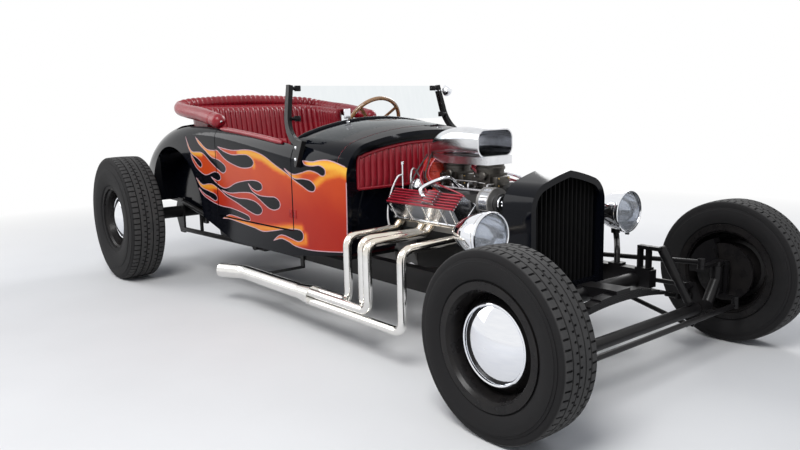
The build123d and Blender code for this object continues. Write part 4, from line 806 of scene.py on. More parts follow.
def back_loop(share, rise, ends):
    """Closed loop of points round the seat back at a share of its run."""
    face = -rise * PLEAT_CROWN + (1 - ends) * 0.030
    base, _ = back_run(share, BACK_MID_Z, 0)
    top = crest(base.x)
    loop = []
    # Face from the foot up, then over the padded edge to the roll
    foot = foot_of(back_run(share, BACK_LOW_Z, 0)[0]) + UNDER_ROOM
    for step in range(9):
        z = foot + (top - BACK_EDGE - foot) * step / 8
        tuck = 0.010 * math.exp(-((z - foot) / 0.020) ** 2)
        loop.append((back_run(share, z, face + tuck)[0], z))
    for step in range(1, 5):
        turn = math.pi / 2 * step / 4
        z = top - BACK_EDGE + BACK_EDGE * math.sin(turn)
        fold = face + 0.034 * (1 - math.cos(turn))
        loop.append((back_run(share, z, fold)[0], z))
    far = back_run(share, top, BACK_THICK)[0]
    loop.append((far, min(crest(far.x), top + 0.016) - 0.004))
    # Down the back, clear of the bulkhead and the wheel arches
    for step in range(5):
        z = top - 0.010 - (top - 0.010 - foot) * step / 4
        place = back_run(share, z, BACK_THICK * ends + 0.020 * (1 - ends))[0]
        if z < BODY_CREST_Z:
            place.x = max(place.x, BULKHEAD_X)
        loop.append((place, max(z, foot_of(place) + UNDER_ROOM)))
    return [Vector((place.x, place.y, z)) for place, z in loop]


def quilted(shape, loops):
    """Skin over closed loops of points, capped at both ends."""
    count, around = len(loops), len(loops[0])
    made = bmesh.ops.create_grid(shape, x_segments=around, y_segments=count - 1, size=1.0)["verts"]
    for corner in made:
        spot = round((corner.co.x + 1) / 2 * around)
        loop = round((corner.co.y + 1) / 2 * (count - 1))
        corner.co = loops[loop][spot % around]
    bmesh.ops.remove_doubles(shape, verts=made, dist=1e-6)
    bmesh.ops.holes_fill(shape, edges=[edge for edge in shape.edges if edge.is_boundary], sides=0)


def pleats(run):
    """Stations of a pleated run: share of the run and height of the pleat there."""
    count = round(run / PLEAT_PITCH)
    marks = [((pleat + share) / count, rise) for pleat in range(count) for share, rise in PLEAT]
    return marks + [(1.0, 0.0)]


def rounded_end(away, reach):
    """Share of the full thickness near an end, which rises as a quarter circle."""
    return math.sqrt(1 - (1 - min(away / reach, 1.0)) ** 2)


def seat_back():
    """Tuck-and-roll back that wraps round both sides."""
    _, half_run = back_run(0.0, BACK_MID_Z, 0)
    loops = []
    for share, rise in pleats(half_run * 2):
        ends = rounded_end(min(share, 1 - share) * half_run * 2, BACK_END)
        loops.append(back_loop(share, rise * ends, ends))
    shape = bmesh.new()
    quilted(shape, loops)
    piece = gather("seat_back_pleats", shape, VINYL, "chassis", ["seat"], SOFT_CREASE)


CUSHION_HALF = 0.394
CUSHION_END = 0.035
CUSHION_CROWN = 0.009
CUSHION_MID_X = -0.87
CUSHION_MID_Z = 0.565
# Cushion outline from the heel round the top and nose: station, height, share of the pleats' crown
CUSHION_LINE = [
    (-1.172, 0.604, 0.0), (-1.172, 0.616, 0.4), (-1.120, 0.619, 1.0), (-1.000, 0.618, 1.0),
    (-0.880, 0.618, 1.0), (-0.760, 0.620, 1.0), (-0.680, 0.619, 1.0), (-0.640, 0.612, 1.0),
    (-0.622, 0.596, 1.0), (-0.616, 0.570, 1.0), (-0.622, 0.536, 0.6), (-0.640, 0.516, 0.0),
    (-0.860, 0.514, 0.0), (-1.080, 0.516, 0.0),
]


def seat_cushion():
    """Bench cushion with fore-and-aft pleats and a rolled nose."""
    loops = []
    for share, rise in pleats(CUSHION_HALF * 2):
        y = (share * 2 - 1) * CUSHION_HALF
        ends = rounded_end(CUSHION_HALF - abs(y), CUSHION_END)
        loop = []
        for x, z, crown in CUSHION_LINE:
            out = Vector(((x - CUSHION_MID_X) * 0.25, 0, z - CUSHION_MID_Z)).normalized()
            loop.append(Vector((x, y, z)) + out * (rise * crown * CUSHION_CROWN - (1 - ends) * 0.022))
        loops.append(loop)
    shape = bmesh.new()
    quilted(shape, loops)
    piece = gather("seat_cushion_pleats", shape, VINYL, "chassis", ["seat"], SOFT_CREASE)


def rear_roll():
    """Stuffed roll round the back of the cockpit with its seams and end buttons."""
    right = [(x, -y, z) for x, y, z in ROLL_LINE]
    route = right + [(x, -y, z) for x, y, z in reversed(right[:-1])]
    line = smoothed(route, 40)
    spans = [0.0]
    for a, b in zip(line[:-1], line[1:]):
        spans.append(spans[-1] + (b - a).length)
    total = spans[-1]
    # The seams meet those of the seat back
    _, half_run = back_run(0.0, BACK_MID_Z, 0)
    count = round(half_run * 2 / PLEAT_PITCH)
    pitch = half_run * 2 / count
    radii, depths = [], []
    for point, span in zip(line, spans):
        edge = min(span, total - span)
        seam = 0.0030 * math.exp(-(((edge - ROLL_CUFF) / 0.006) ** 2))
        turn = math.pi * ((span - total / 2) / pitch + count / 2)
        depth = ROLL_SEAM * (1 - abs(math.sin(turn)) ** 0.6)
        if edge > ROLL_PLAIN:
            seam += depth
            depth = 0.0
        elif edge < ROLL_PLAIN_INSIDE:
            depth = 0.0
        depths.append(depth)
        radii.append(ROLL_R - 0.0012 - seam + noise.noise(point * 9.0) * 0.0012)
    ahead = (line[0] - line[3]).normalized()
    behind = Vector((ahead.x, -ahead.y, ahead.z))
    lead = [line[0] + ahead * ROLL_END * share for share, _ in ROLL_DOMES]
    tail = [line[-1] + behind * ROLL_END * share for share, _ in reversed(ROLL_DOMES)]
    domes = [radius for _, radius in ROLL_DOMES]
    shape = bmesh.new()
    tube(shape, lead + line + tail, domes + radii + domes[::-1], 28)
    # On the arms only the side towards the seat is pleated
    stations = KDTree(len(line))
    for index, point in enumerate(line):
        stations.insert(point, index)
    stations.balance()
    for corner in shape.verts:
        point, index, _ = stations.find(corner.co)
        out = (corner.co - point).normalized()
        inward = max(0.0, -math.copysign(1.0, point.y) * out.y + 0.25)
        corner.co -= out * depths[index] * min(1.0, inward * 2.5)
    piece = gather("rear_roll", shape, VINYL, "chassis", ["padded_roll"], SOFT_CREASE)
    for hand, place in ((RIGHT, lead[0]), (LEFT, tail[-1])):
        button = bmesh.new()
        lathe(button, BUTTON, place - ahead * 0.003, (ahead.x, ahead.y * -hand, ahead.z), 20)
        gather(f"roll_button_{SIDES[hand]}", button, CHROME, "chassis")


RAIL_REAR_X = -0.655
RAIL_RUN = 0.640
RAIL_R = 0.0135
RAIL_STEPS = 14
CARD_REAR_X = -0.650
CARD_RUN = 0.66
CARD_FOOT_Z = 0.50
CARD_HEIGHT = 0.41
CARD_ROWS = 6


def door_trim():
    """Padded rail on each door's top edge and a pleated card inside it."""
    for hand, side_name in SIDES.items():
        body = f"door_{side_name}"
        skin = surface(body)
        rail, sizes = [], []
        for step in range(RAIL_STEPS + 1):
            x = RAIL_REAR_X + RAIL_RUN * step / RAIL_STEPS
            y = hand * (0.5375 + 0.016 * (0.03 - x) / 0.7)
            rail.append(Vector((x, y, drop(skin, x, y) + 0.006)))
            sizes.append(RAIL_R * min(1.0, 0.55 + 0.45 * min(step, RAIL_STEPS - step)))
        shape = bmesh.new()
        tube(shape, rail, sizes, 16)
        piece = gather(f"door_rail_{side_name}", shape, VINYL, body, (), SOFT_CREASE)
        loops = []
        for share, rise in pleats(CARD_RUN):
            x = CARD_REAR_X + CARD_RUN * share
            y = 0.530 + (0.0415 - x) / 0.741 * 0.018
            edge = rounded_end(min(share, 1 - share), 0.02)
            depth = 0.003 + 0.006 * rise * edge + 0.002 * edge
            heights = [CARD_FOOT_Z + CARD_HEIGHT * row / CARD_ROWS for row in range(CARD_ROWS + 1)]
            inner = []
            for row, z in enumerate(heights):
                tuck = min(1.0, 0.35 + 0.65 * min(row, CARD_ROWS - row))
                inner.append(Vector((x, hand * (y - depth * tuck), z)))
            outer = [Vector((x, hand * (y - 0.0006), z)) for z in heights[::-3]]
            loops.append(inner + outer)
        shape = bmesh.new()
        quilted(shape, loops)
        gather(f"door_card_{side_name}", shape, VINYL, body, (), SOFT_CREASE)


def firewall_pad():
    """Black plate under the cowl's arch and the pleated pad on it with its rolled border."""
    low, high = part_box("firewall_panel")
    skin = surface("firewall_panel")
    mid_x = (low[0] + high[0]) / 2
    plate_half = high[1] - 0.002
    plate_foot = low[2] + 0.001
    plate_face = high[0] - 0.0005
    loops = []
    for step in range(61):
        y = plate_half * (step / 30 - 1)
        top = drop(skin, mid_x, y * 0.997) - 0.0005
        edge = ((plate_face, plate_foot), (plate_face, top), (low[0], top), (low[0], plate_foot))
        loops.append([Vector((x, y, z)) for x, z in edge])
    shape = bmesh.new()
    quilted(shape, loops)
    gather("firewall_plate", shape, BLACK, "chassis")
    foot = low[2] + 0.012
    face = high[0] - 0.0004
    loops, border = [], [Vector((face + PAD_BORDER, -PAD_HALF, foot))]
    for share, rise in pleats(PAD_HALF * 2):
        y = (share * 2 - 1) * PAD_HALF
        top = drop(skin, mid_x, y) - PAD_ROOM
        ends = rounded_end(min(share, 1 - share), 0.02)
        front = []
        for row in range(9):
            z = foot + (top - foot) * row / 8
            tuck = min(1.0, 0.4 + 0.6 * min(row, 8 - row))
            front.append(Vector((face + 0.003 + 0.010 * rise * ends * tuck, y, z)))
        loops.append(front + [Vector((face, y, top)), Vector((face, y, foot))])
        if rise in (0.0, 1.0):
            border.append(Vector((face + PAD_BORDER, y, top)))
    shape = bmesh.new()
    quilted(shape, loops)
    gather("firewall_pleats", shape, VINYL, "chassis", ["firewall_panel"], SOFT_CREASE)
    shape = bmesh.new()
    tube(shape, smoothed(border + [Vector((face + PAD_BORDER, PAD_HALF, foot))], 2), 0.0085, 12)
    low_edge = [Vector((face + PAD_BORDER, PAD_HALF * (step / 6 - 1), foot)) for step in range(13)]
    tube(shape, low_edge, 0.0080, 12)
    gather("firewall_border", shape, VINYL, "chassis", (), SOFT_CREASE)


# Flames, in millimetres on the car's side: station and height, one stroke for each run between sharp tips
FLAME_STROKES = [
    [(470, 785), (405, 805), (345, 816), (290, 813), (250, 806), (180, 809)],
    [(180, 809), (200, 791), (250, 787), (300, 791), (337, 776), (340, 752), (318, 743), (280, 757),
     (225, 764), (155, 748), (95, 742), (27, 767)],
    [(27, 767), (70, 740), (115, 721), (180, 723), (235, 717), (268, 692), (258, 669), (220, 668),
     (170, 689), (110, 713), (45, 744), (-50, 779), (-150, 819), (-250, 841), (-340, 846), (-480, 839),
     (-590, 846), (-665, 854)],
    [(-665, 854), (-590, 830), (-495, 815), (-400, 819), (-320, 818), (-264, 792), (-275, 763), (-340, 750),
     (-420, 751), (-530, 771), (-600, 795), (-669, 831), (-720, 831), (-780, 833), (-830, 845), (-880, 870),
     (-947, 903)],
    [(-947, 903), (-905, 865), (-825, 827), (-750, 793), (-660, 779), (-590, 753), (-577, 726), (-612, 709),
     (-665, 722), (-765, 764), (-842, 803), (-890, 815), (-944, 815), (-1000, 815), (-1040, 838),
     (-1088, 905)],
    [(-1088, 905), (-1052, 834), (-1008, 800), (-940, 780), (-887, 756), (-882, 733), (-914, 728),
     (-960, 752), (-1028, 800)],
    [(-1028, 800), (-1005, 761), (-950, 719), (-870, 690), (-815, 688), (-725, 709), (-665, 704), (-646, 676),
     (-690, 662), (-770, 679)],
    [(-770, 679), (-700, 646), (-620, 626), (-555, 633), (-465, 663), (-345, 683), (-250, 689), (-193, 676),
     (-190, 648), (-240, 636), (-290, 647), (-330, 670)],
    [(-330, 670), (-290, 633), (-220, 615), (-140, 614), (-65, 616), (-24, 595), (-28, 567), (-75, 551),
     (-130, 556), (-187, 579), (-225, 595), (-300, 619), (-405, 616), (-540, 603), (-645, 612)],
    [(-645, 612), (-565, 592), (-450, 582), (-350, 585), (-260, 577), (-200, 549), (-208, 521), (-260, 509),
     (-345, 523), (-470, 555), (-585, 581), (-650, 605), (-745, 634), (-810, 635), (-895, 627), (-972, 662)],
    [(-972, 662), (-910, 612), (-815, 595), (-727, 581), (-704, 558), (-735, 543), (-805, 559), (-875, 574),
     (-945, 602)],
    [(-945, 602), (-880, 562), (-750, 531), (-650, 520), (-545, 519), (-430, 508), (-345, 494), (-330, 473),
     (-365, 467), (-465, 476), (-565, 478), (-651, 450)],
    [(-651, 450), (-560, 456), (-420, 446), (-285, 437), (-200, 428), (-100, 442), (10, 462), (125, 473),
     (163, 457), (158, 427), (120, 413), (60, 422), (0, 430), (-45, 424), (-100, 392)],
    [(-100, 392), (-25, 411), (45, 402), (95, 388), (200, 382), (320, 388), (462, 400)],
    [(462, 400), (467, 590), (470, 785)],
]
# Hot streaks of the airbrushed colour in millimetres: reach, strength and the line along each
FLAME_STREAKS = [
    (45, 1.00, [(470, 770), (400, 790), (300, 790), (230, 790)]),
    (30, 0.80, [(470, 770), (340, 745), (265, 700), (215, 690), (150, 712), (30, 760)]),
    (25, 0.80, [(250, 775), (150, 755), (60, 755)]),
    (32, 0.90, [(30, 755), (-60, 775), (-180, 815), (-300, 830), (-420, 835)]),
    (35, 0.75, [(-300, 830), (-262, 770)]),
    (30, 0.80, [(-700, 810), (-800, 820), (-880, 850), (-940, 900)]),
    (30, 0.95, [(-880, 810), (-1000, 810), (-1080, 890)]),
    (30, 0.70, [(-900, 740), (-1000, 790)]),
    (22, 0.85, [(-700, 625), (-900, 620), (-960, 650)]),
    (20, 0.70, [(-760, 590), (-930, 600)]),
    (25, 0.75, [(-640, 460), (-450, 450), (-250, 440), (-100, 452), (60, 475), (150, 480)]),
    (22, 0.70, [(180, 450), (180, 415), (100, 400), (-20, 408), (-90, 396)]),
]
FLAME_FOOT_Z = 0.450
FLAME_HEAD_Z = 0.760
SEAM_ROOM = 0.0015
DOOR_FRONT_X = 0.0845
DOOR_REAR_X = -0.6935
DOOR_FRAME_FRONT_X = 0.0905
DOOR_FRAME_REAR_X = -0.6995
DOOR_SILL_Z = 0.466
FRAME_SILL_Z = 0.460
# Grid that lets the flat paint follow the body: pitch, and the cuts' numbers from the origin
PAINT_GRID = 0.014
PAINT_COLUMNS = range(-80, 36)
PAINT_ROWS = range(26, 66)
PAINT_LIFT = 0.0009
PINSTRIPE_HALF = 0.0021


def flame_outline():
    """The closed outline of the flames in metres."""
    outline = []
    for stroke in FLAME_STROKES:
        outline.extend(smoothed([(x / 1000, z / 1000, 0) for x, z in stroke], 6)[:-1])
    return outline


def flame_heat(x, z):
    """How far the airbrushed colour has gone from crimson to yellow at a place."""
    rise = min(max((z - FLAME_FOOT_Z) / (FLAME_HEAD_Z - FLAME_FOOT_Z), 0.0), 1.0)
    heat = 0.12 + 0.25 * rise * rise * (3 - 2 * rise)
    place = Vector((x * 1000, z * 1000))
    for reach, strength, line in FLAME_STREAKS:
        for a, b in zip(line[:-1], line[1:]):
            near, share = intersect_point_line(place, a, b)
            if share < 0:
                near = Vector(a)
            elif share > 1:
                near = Vector(b)
            away = (place - near.xy).length / reach
            heat = max(heat, strength * math.exp(-away * away))
    return heat


def on_door(middle):
    """Whether a face of the paint lies on the door (True), beside it (False) or over its gap (None)."""
    x, z = middle.x, middle.z
    if DOOR_REAR_X + SEAM_ROOM < x < DOOR_FRONT_X - SEAM_ROOM and z > DOOR_SILL_Z + SEAM_ROOM:
        return True
    if DOOR_FRAME_REAR_X - SEAM_ROOM < x < DOOR_FRAME_FRONT_X + SEAM_ROOM and z > FRAME_SILL_Z - SEAM_ROOM:
        return None
    return False


def cut_at(shape, place, normal):
    """Cut every face of a flat shape along a plane."""
    bmesh.ops.bisect_plane(shape, geom=shape.verts[:] + shape.edges[:] + shape.faces[:], dist=1e-6,
                           plane_co=place, plane_no=normal)


def laid_paint(name, flat, door, hand, lift, material):
    """Lay a flat shape of paint on the body's side as a thin closed skin."""
    side_name = SIDES[hand]
    shape = flat.copy()
    far = [face for face in shape.faces if on_door(face.calc_center_median()) is not door]
    bmesh.ops.delete(shape, geom=far, context="FACES")
    skin = surface(f"door_{side_name}") if door else surface("cowl", "body_shell")
    smooth = shape.verts.layers.float_vector.new("smooth")
    missed = []
    for corner in shape.verts:
        seen = seen_from_side(skin, corner.co.x, corner.co.z, hand)
        if seen is None or abs(seen[0].y) < 0.40:
            missed.append(corner)
            continue
        corner.co = seen[0] + seen[1] * lift * 0.3
        corner[smooth] = seen[1]
    bmesh.ops.delete(shape, geom=missed, context="VERTS")
    heat = shape.verts.layers.float.new("glow")
    for corner in shape.verts:
        corner[heat] = flame_heat(corner.co.x, corner.co.z)
    skin_faces = shape.faces[:]
    raised = bmesh.ops.extrude_face_region(shape, geom=skin_faces, use_keep_orig=True)
    for corner in raised["geom"]:
        if isinstance(corner, bmesh.types.BMVert):
            corner.co += corner[smooth] * lift * 0.7
    bmesh.ops.recalc_face_normals(shape, faces=shape.faces)
    normals = [corner[smooth].copy() for corner in shape.verts]
    mesh = bpy.data.meshes.new(name)
    shape.to_mesh(mesh)
    shape.free()
    body = f"door_{side_name}" if door else "chassis"
    placed(name, mesh, material, body, (), math.pi)
    mesh.normals_split_custom_set_from_vertices(normals)


def pinstripe(outline):
    """Flat ribbon along the edge of the flames."""
    shape = bmesh.new()
    count = len(outline)
    pairs = []
    for index, point in enumerate(outline):
        before = (point - outline[index - 1]).normalized()
        after = (outline[(index + 1) % count] - point).normalized()
        aim = before + after
        aim = aim.normalized() if aim.length > 0.2 else before
        side = Vector((-aim.y, aim.x, 0)) * PINSTRIPE_HALF
        pairs.append([shape.verts.new((spot.x, 0, spot.y)) for spot in (point + side, point - side)])
    for index in range(count):
        near, far = pairs[index], pairs[(index + 1) % count]
        shape.faces.new((near[0], near[1], far[1], far[0]))
    return shape


def flames():
    """Flames and their pinstripe on the cowl, doors and quarters, on both sides."""
    outline = flame_outline()
    fill = bmesh.new()
    count = len(outline)
    edges = [(index, (index + 1) % count) for index in range(count)]
    spots, _, triangles, *_ = delaunay_2d_cdt([point.xy for point in outline], edges, [], 1, 1e-6)
    corners = [fill.verts.new((spot.x, 0, spot.y)) for spot in spots]
    for triangle in triangles:
        fill.faces.new([corners[index] for index in triangle])
    stripe = pinstripe(outline)
    for step in PAINT_COLUMNS:
        cut_at(fill, (step * PAINT_GRID, 0, 0), (1, 0, 0))
    for step in PAINT_ROWS:
        cut_at(fill, (0, 0, step * PAINT_GRID), (0, 0, 1))
    for flat in (fill, stripe):
        for x in (DOOR_REAR_X + SEAM_ROOM, DOOR_FRONT_X - SEAM_ROOM, DOOR_FRAME_REAR_X - SEAM_ROOM,
                  DOOR_FRAME_FRONT_X + SEAM_ROOM):
            cut_at(flat, (x, 0, 0), (1, 0, 0))
        for z in (DOOR_SILL_Z + SEAM_ROOM, FRAME_SILL_Z - SEAM_ROOM):
            cut_at(flat, (0, 0, z), (0, 0, 1))
    for hand, side_name in SIDES.items():
        for door, place in ((True, "door"), (False, "body")):
            laid_paint(f"flames_{place}_{side_name}", fill, door, hand, PAINT_LIFT, FLAME)
            laid_paint(f"flame_line_{place}_{side_name}", stripe, door, hand, PAINT_LIFT * 1.7, PINSTRIPE)
    fill.free()
    stripe.free()


# Tyres: place, body, tread ribs, pitches of the tread round the crown, groove depth in metres
TYRES = [
    ("front_right", "wheel_front_right", 5, 64, 0.0066),
    ("front_left", "wheel_front_left", 5, 64, 0.0066),
    ("rear_right", "wheel_rear_right", 5, 72, 0.0078),
    ("rear_left", "wheel_rear_left", 5, 72, 0.0078),
]
TYRE_BORE = 0.1893
FLANGE_R = 0.2085


def tyre(place, body, ribs, pitches, depth):
    """Treaded tyre: grooved crown with cross slots, scrub ring and bead."""
    low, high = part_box(f"tyre_{place}")
    centre = (Vector(low) + Vector(high)) / 2
    outer = (high[2] - low[2]) / 2
    wall = (high[1] - low[1]) / 2
    bead = wall - 0.018
    tread = wall * 0.80
    groove = tread * 2 / (ribs * 5 - 1)
    waist = (FLANGE_R + outer) / 2
    # Outline from the outboard bead over the crown to the inboard bead: radius, offset
    flank = [(TYRE_BORE, bead), (FLANGE_R + 0.002, bead), (FLANGE_R + 0.006, bead + 0.006),
             (FLANGE_R + 0.016, wall - 0.0075), (waist - 0.014, wall - 0.0012), (waist, wall - 0.0004),
             (waist + 0.012, wall - 0.0016), (waist + 0.013, wall - 0.0038), (outer - 0.030, wall - 0.0060),
             (outer - 0.0295, wall - 0.0085), (outer - 0.017, wall * 0.905), (outer - 0.0090, wall * 0.865),
             (outer - 0.0042, tread + 0.0020)]
    crown = []
    for rib in range(ribs):
        near = tread - rib * groove * 5
        far = near - groove * 4
        for y in (near, (near + far) / 2, far):
            crown.append((outer - 0.0002 - 0.0030 * (y / tread) ** 2, y))
        if rib < ribs - 1:
            crown.append((outer - depth, far - groove * 0.15))
            crown.append((outer - depth, far - groove * 0.85))
    outline = flank + crown + [(radius, -offset) for radius, offset in reversed(flank)]
    shape = bmesh.new()
    corners = [shape.verts.new((radius, offset, 0)) for radius, offset in outline]
    edges = [shape.edges.new(pair) for pair in zip(corners, corners[1:] + corners[:1])]
    steps = pitches * 4
    bmesh.ops.spin(shape, geom=corners + edges, cent=(0, 0, 0), axis=(0, 1, 0), angle=math.tau, steps=steps,
                   use_merge=True)
    bmesh.ops.remove_doubles(shape, verts=shape.verts, dist=1e-6)
    bmesh.ops.recalc_face_normals(shape, faces=shape.faces)
    slots = []
    for face in shape.faces:
        middle = face.calc_center_median()
        turn = round(math.atan2(middle.z, middle.x) / math.tau * steps - 0.5)
        if math.hypot(middle.x, middle.z) < outer - 0.0125 or abs(face.normal.y) > 0.75:
            continue
        rib = int((tread - middle.y) / (groove * 5))
        along = (tread - middle.y) / (groove * 5) - rib
        shoulder = abs(middle.y) > tread - groove * 4
        near_edge = along < 0.4 if rib % 2 else along > 0.4
        across_rib = along < 0.8 and (turn + rib * 2) % 4 == 0 and (shoulder or near_edge)
        over_edge = abs(middle.y) > tread and turn % 4 == 0
        if across_rib or over_edge:
            slots.append(face)
    # Slots across the ribs, each with upright walls
    bmesh.ops.inset_region(shape, faces=slots, thickness=0.0011, depth=0.0, use_boundary=True)
    for corner in {corner for face in slots for corner in face.verts}:
        reach = math.hypot(corner.co.x, corner.co.z)
        share = (reach - depth * 0.75) / reach
        corner.co.x *= share
        corner.co.z *= share
    scrub = shape.verts.layers.float.new("crown")
    for corner in shape.verts:
        on_top = math.hypot(corner.co.x, corner.co.z) > outer - 0.0046 and abs(corner.co.y) < tread + 0.004
        corner[scrub] = 1.0 if on_top else 0.0
    bmesh.ops.translate(shape, verts=shape.verts, vec=centre)
    gather(f"tyre_{place}_tread", shape, RUBBER, body, [f"tyre_{place}"], 0.5)


def all_tyres():
    """The four tyres."""
    for place, body, ribs, pitches, depth in TYRES:
        tyre(place, body, ribs, pitches, depth)


# Body trim, in metres
BEAD_X = 0.058
BEAD_HALF = 0.505
BEAD_R = 0.0105
BEAD_STEPS = 36
PINSTRIPE_X = 0.405
# Outlines of turned pieces: radius, height along the axis
MIRROR_HEAD = [
    (0.0, 0.030), (0.010, 0.0285), (0.020, 0.0235), (0.028, 0.0140), (0.0318, 0.0020), (0.0322, -0.0050),
    (0.0300, -0.0075), (0.0285, -0.0060), (0.0, -0.0055),
]
MIRROR_COLLAR = [(0.0, 0.0040), (0.0085, 0.0040), (0.0095, 0.0025), (0.0095, -0.0060), (0.0, -0.0060)]
POST_SCREW = [(0.0, 0.004), (0.005, 0.0034), (0.008, 0.001), (0.0085, -0.001)]


def cowl_bead():
    """Raised rolled edge across the rear of the cowl, under the windscreen."""
    skin = surface("cowl")
    line, sizes = [], []
    for step in range(BEAD_STEPS + 1):
        y = -BEAD_HALF + BEAD_HALF * 2 * step / BEAD_STEPS
        line.append(Vector((BEAD_X, y, drop(skin, BEAD_X, y) + 0.001)))
        sizes.append(BEAD_R * min(1.0, 0.3 + 0.35 * min(step, BEAD_STEPS - step)))
    shape = bmesh.new()
    tube(shape, line, sizes, 14)
    gather("cowl_bead", shape, BLACK, "chassis")


def cowl_line():
    """Thin red pinstripe over the cowl, a hand behind its front edge."""
    skin = surface("cowl")
    shape = bmesh.new()
    rows = []
    for step in range(49):
        angle = -1.28 + 2.56 * step / 48
        aim = Vector((0, math.sin(angle), math.cos(angle)))
        hit, normal, _, _ = skin[0].ray_cast(Vector((PINSTRIPE_X, 0, 0.56)) + aim * 0.9, -aim)
        up = hit + (normal if normal.dot(aim) > 0 else -normal) * 0.0007
        rows.append([shape.verts.new(up + Vector((shift, 0, 0))) for shift in (-0.0013, 0.0013)])
    for near, far in zip(rows[:-1], rows[1:]):
        shape.faces.new((near[0], near[1], far[1], far[0]))
    bmesh.ops.solidify(shape, geom=shape.faces[:], thickness=0.0006)
    gather("cowl_pinstripe", shape, FIN_RED, "chassis")


def mirror_and_clamps():
    """Mirror on its stalk at the cowl and the clamps that hold the windscreen."""
    skin = surface("cowl")
    x, y = 0.062, -0.198
    foot = drop(skin, x, y)
    shape = bmesh.new()
    lathe(shape, [(0.0, 0.004), (0.012, 0.003), (0.016, -0.001)], (x, y, foot), (0, 0, 1), 20)
    bar(shape, (x, y, foot), (x + 0.004, y, foot + 0.034), 0.0045)
    slab(shape, (x - 0.004, y - 0.019, foot + 0.016), (x + 0.008, y + 0.019, foot + 0.066), None, 0.005, 3)
    gather("cowl_mirror", shape, CHROME, "chassis")
    shape = bmesh.new()
    lathe(shape, MIRROR_HEAD, (0.008, 0.548, 1.137), (1, 0.1, 0), 36)
    bar(shape, (0.000, 0.470, 1.137), (0.004, 0.522, 1.137), 0.0048)
    lathe(shape, MIRROR_COLLAR, (0.001, 0.494, 1.137), (0, 1, 0), 20)
    gather("side_mirror", shape, CHROME, "chassis")
    posts = surface("windscreen_posts")[0]
    for hand, side_name in SIDES.items():
        shape = bmesh.new()
        for height in (1.152, 1.005):
            station = -0.0085 + (1.165 - height) * 0.256
            side_y = hand * (0.548 - (height - 0.8) * 0.2)
            near_y, far_y = sorted((side_y - hand * 0.046, side_y - hand * 0.016))
            bar(shape, (station + 0.004, side_y - hand * 0.030, height),
                (station + 0.004, side_y + hand * 0.006, height), 0.0085, None, 20)
            slab(shape, (station - 0.006, near_y, height - 0.014), (station + 0.012, far_y, height + 0.014),
                 None, 0.003, 2)
        gather(f"screen_clamps_{side_name}", shape, POST_BLACK, "chassis")
        shape = bmesh.new()
        # Screws through the stanchion's foot: station, height
        for station, height in ((0.152, 0.815), (0.140, 0.870)):
            spot, *_ = posts.ray_cast(Vector((station, hand * 1.0, height)), Vector((0, -hand, 0)))
            if spot is not None:
                lathe(shape, POST_SCREW, spot, (0, hand, 0), 18)
        gather(f"stanchion_screws_{side_name}", shape, CHROME, "chassis")


# Engine trim, in metres: the bank's own axes are station, across the bank and away from the crank
CRANK_Z = 0.385
HEAD_D = 0.325
COVER_H = 0.085
COVER_X = (0.554, 0.999)
BREATHER_X = (0.8121, 0.8821)
ENGINE_FRONT = 1.030
CARB_STATIONS = (0.665, 0.880)
CARB_FOOT = 0.669
CARB_RIM_Z = 0.7665
PLUG_STATIONS = (0.585, 0.700, 0.800, 0.925)
PUMP_Z = CRANK_Z + 0.140
ALTERNATOR_Y = -0.165
ALTERNATOR_Z = CRANK_Z + 0.262
DISTRIBUTOR = Vector((0.532, -0.006, 0.772))
LEAN = math.sqrt(0.5)
# Outlines of turned pieces: radius, height along the axis
COVER_SCREW = [(0.0, 0.0045), (0.0034, 0.0042), (0.0044, 0.0030), (0.0044, 0.0), (0.0060, -0.0008)]
CAP_OUTLINE = [
    (0.056, -0.030), (0.0615, -0.028), (0.0635, -0.004), (0.0665, 0.004), (0.0705, 0.010), (0.0725, 0.016),
    (0.0715, 0.0225), (0.0660, 0.0255), (0.0400, 0.0262), (0.0385, 0.0232), (0.0180, 0.0232),
    (0.0165, 0.0262), (0.0, 0.0266),
]
BOWL_SCREW = [(0.0, 0.004), (0.0035, 0.0036), (0.0042, 0.0022), (0.0042, 0.0), (0.0052, -0.001)]
FOOT_NUT = [(0.0, 0.011), (0.004, 0.0105), (0.0055, 0.009), (0.0055, 0.0), (0.008, -0.001)]
CHOKE_COVER = [(0.0, 0.017), (0.016, 0.016), (0.0195, 0.012), (0.0195, 0.0), (0.0, -0.002)]
AIR_HORN = [(0.056, 0.000), (0.0655, 0.002), (0.0660, 0.010), (0.0640, 0.013), (0.0625, 0.013)]
PULLEY_BOLT = [(0.0, 0.005), (0.0045, 0.0045), (0.0052, 0.003), (0.0052, -0.002)]
DIPSTICK_CAP = [
    (0.0, -0.004), (0.0085, -0.003), (0.0095, 0.002), (0.0095, 0.010), (0.0065, 0.012), (0.0, 0.0125),
]
FILLER_CAP = [
    (0.0, 0.020), (0.017, 0.019), (0.023, 0.015), (0.025, 0.008), (0.0245, 0.001), (0.021, -0.004),
    (0.012, -0.008), (0.010, -0.030), (0.0, -0.031),
]


def bank_point(x, across, away, hand):
    """Place in the car of a point in a bank's own axes."""
    y = (across - away) * LEAN
    return Vector((x, y * -hand, CRANK_Z + (across + away) * LEAN))


def bank_turn(hand):
    """Matrix from a bank's own axes to the car's."""
    turn = Matrix.Translation((0, 0, CRANK_Z)) @ Matrix.Rotation(math.radians(45), 4, "X")
    return turn if hand == RIGHT else Matrix.Diagonal((1, -1, 1, 1)) @ turn


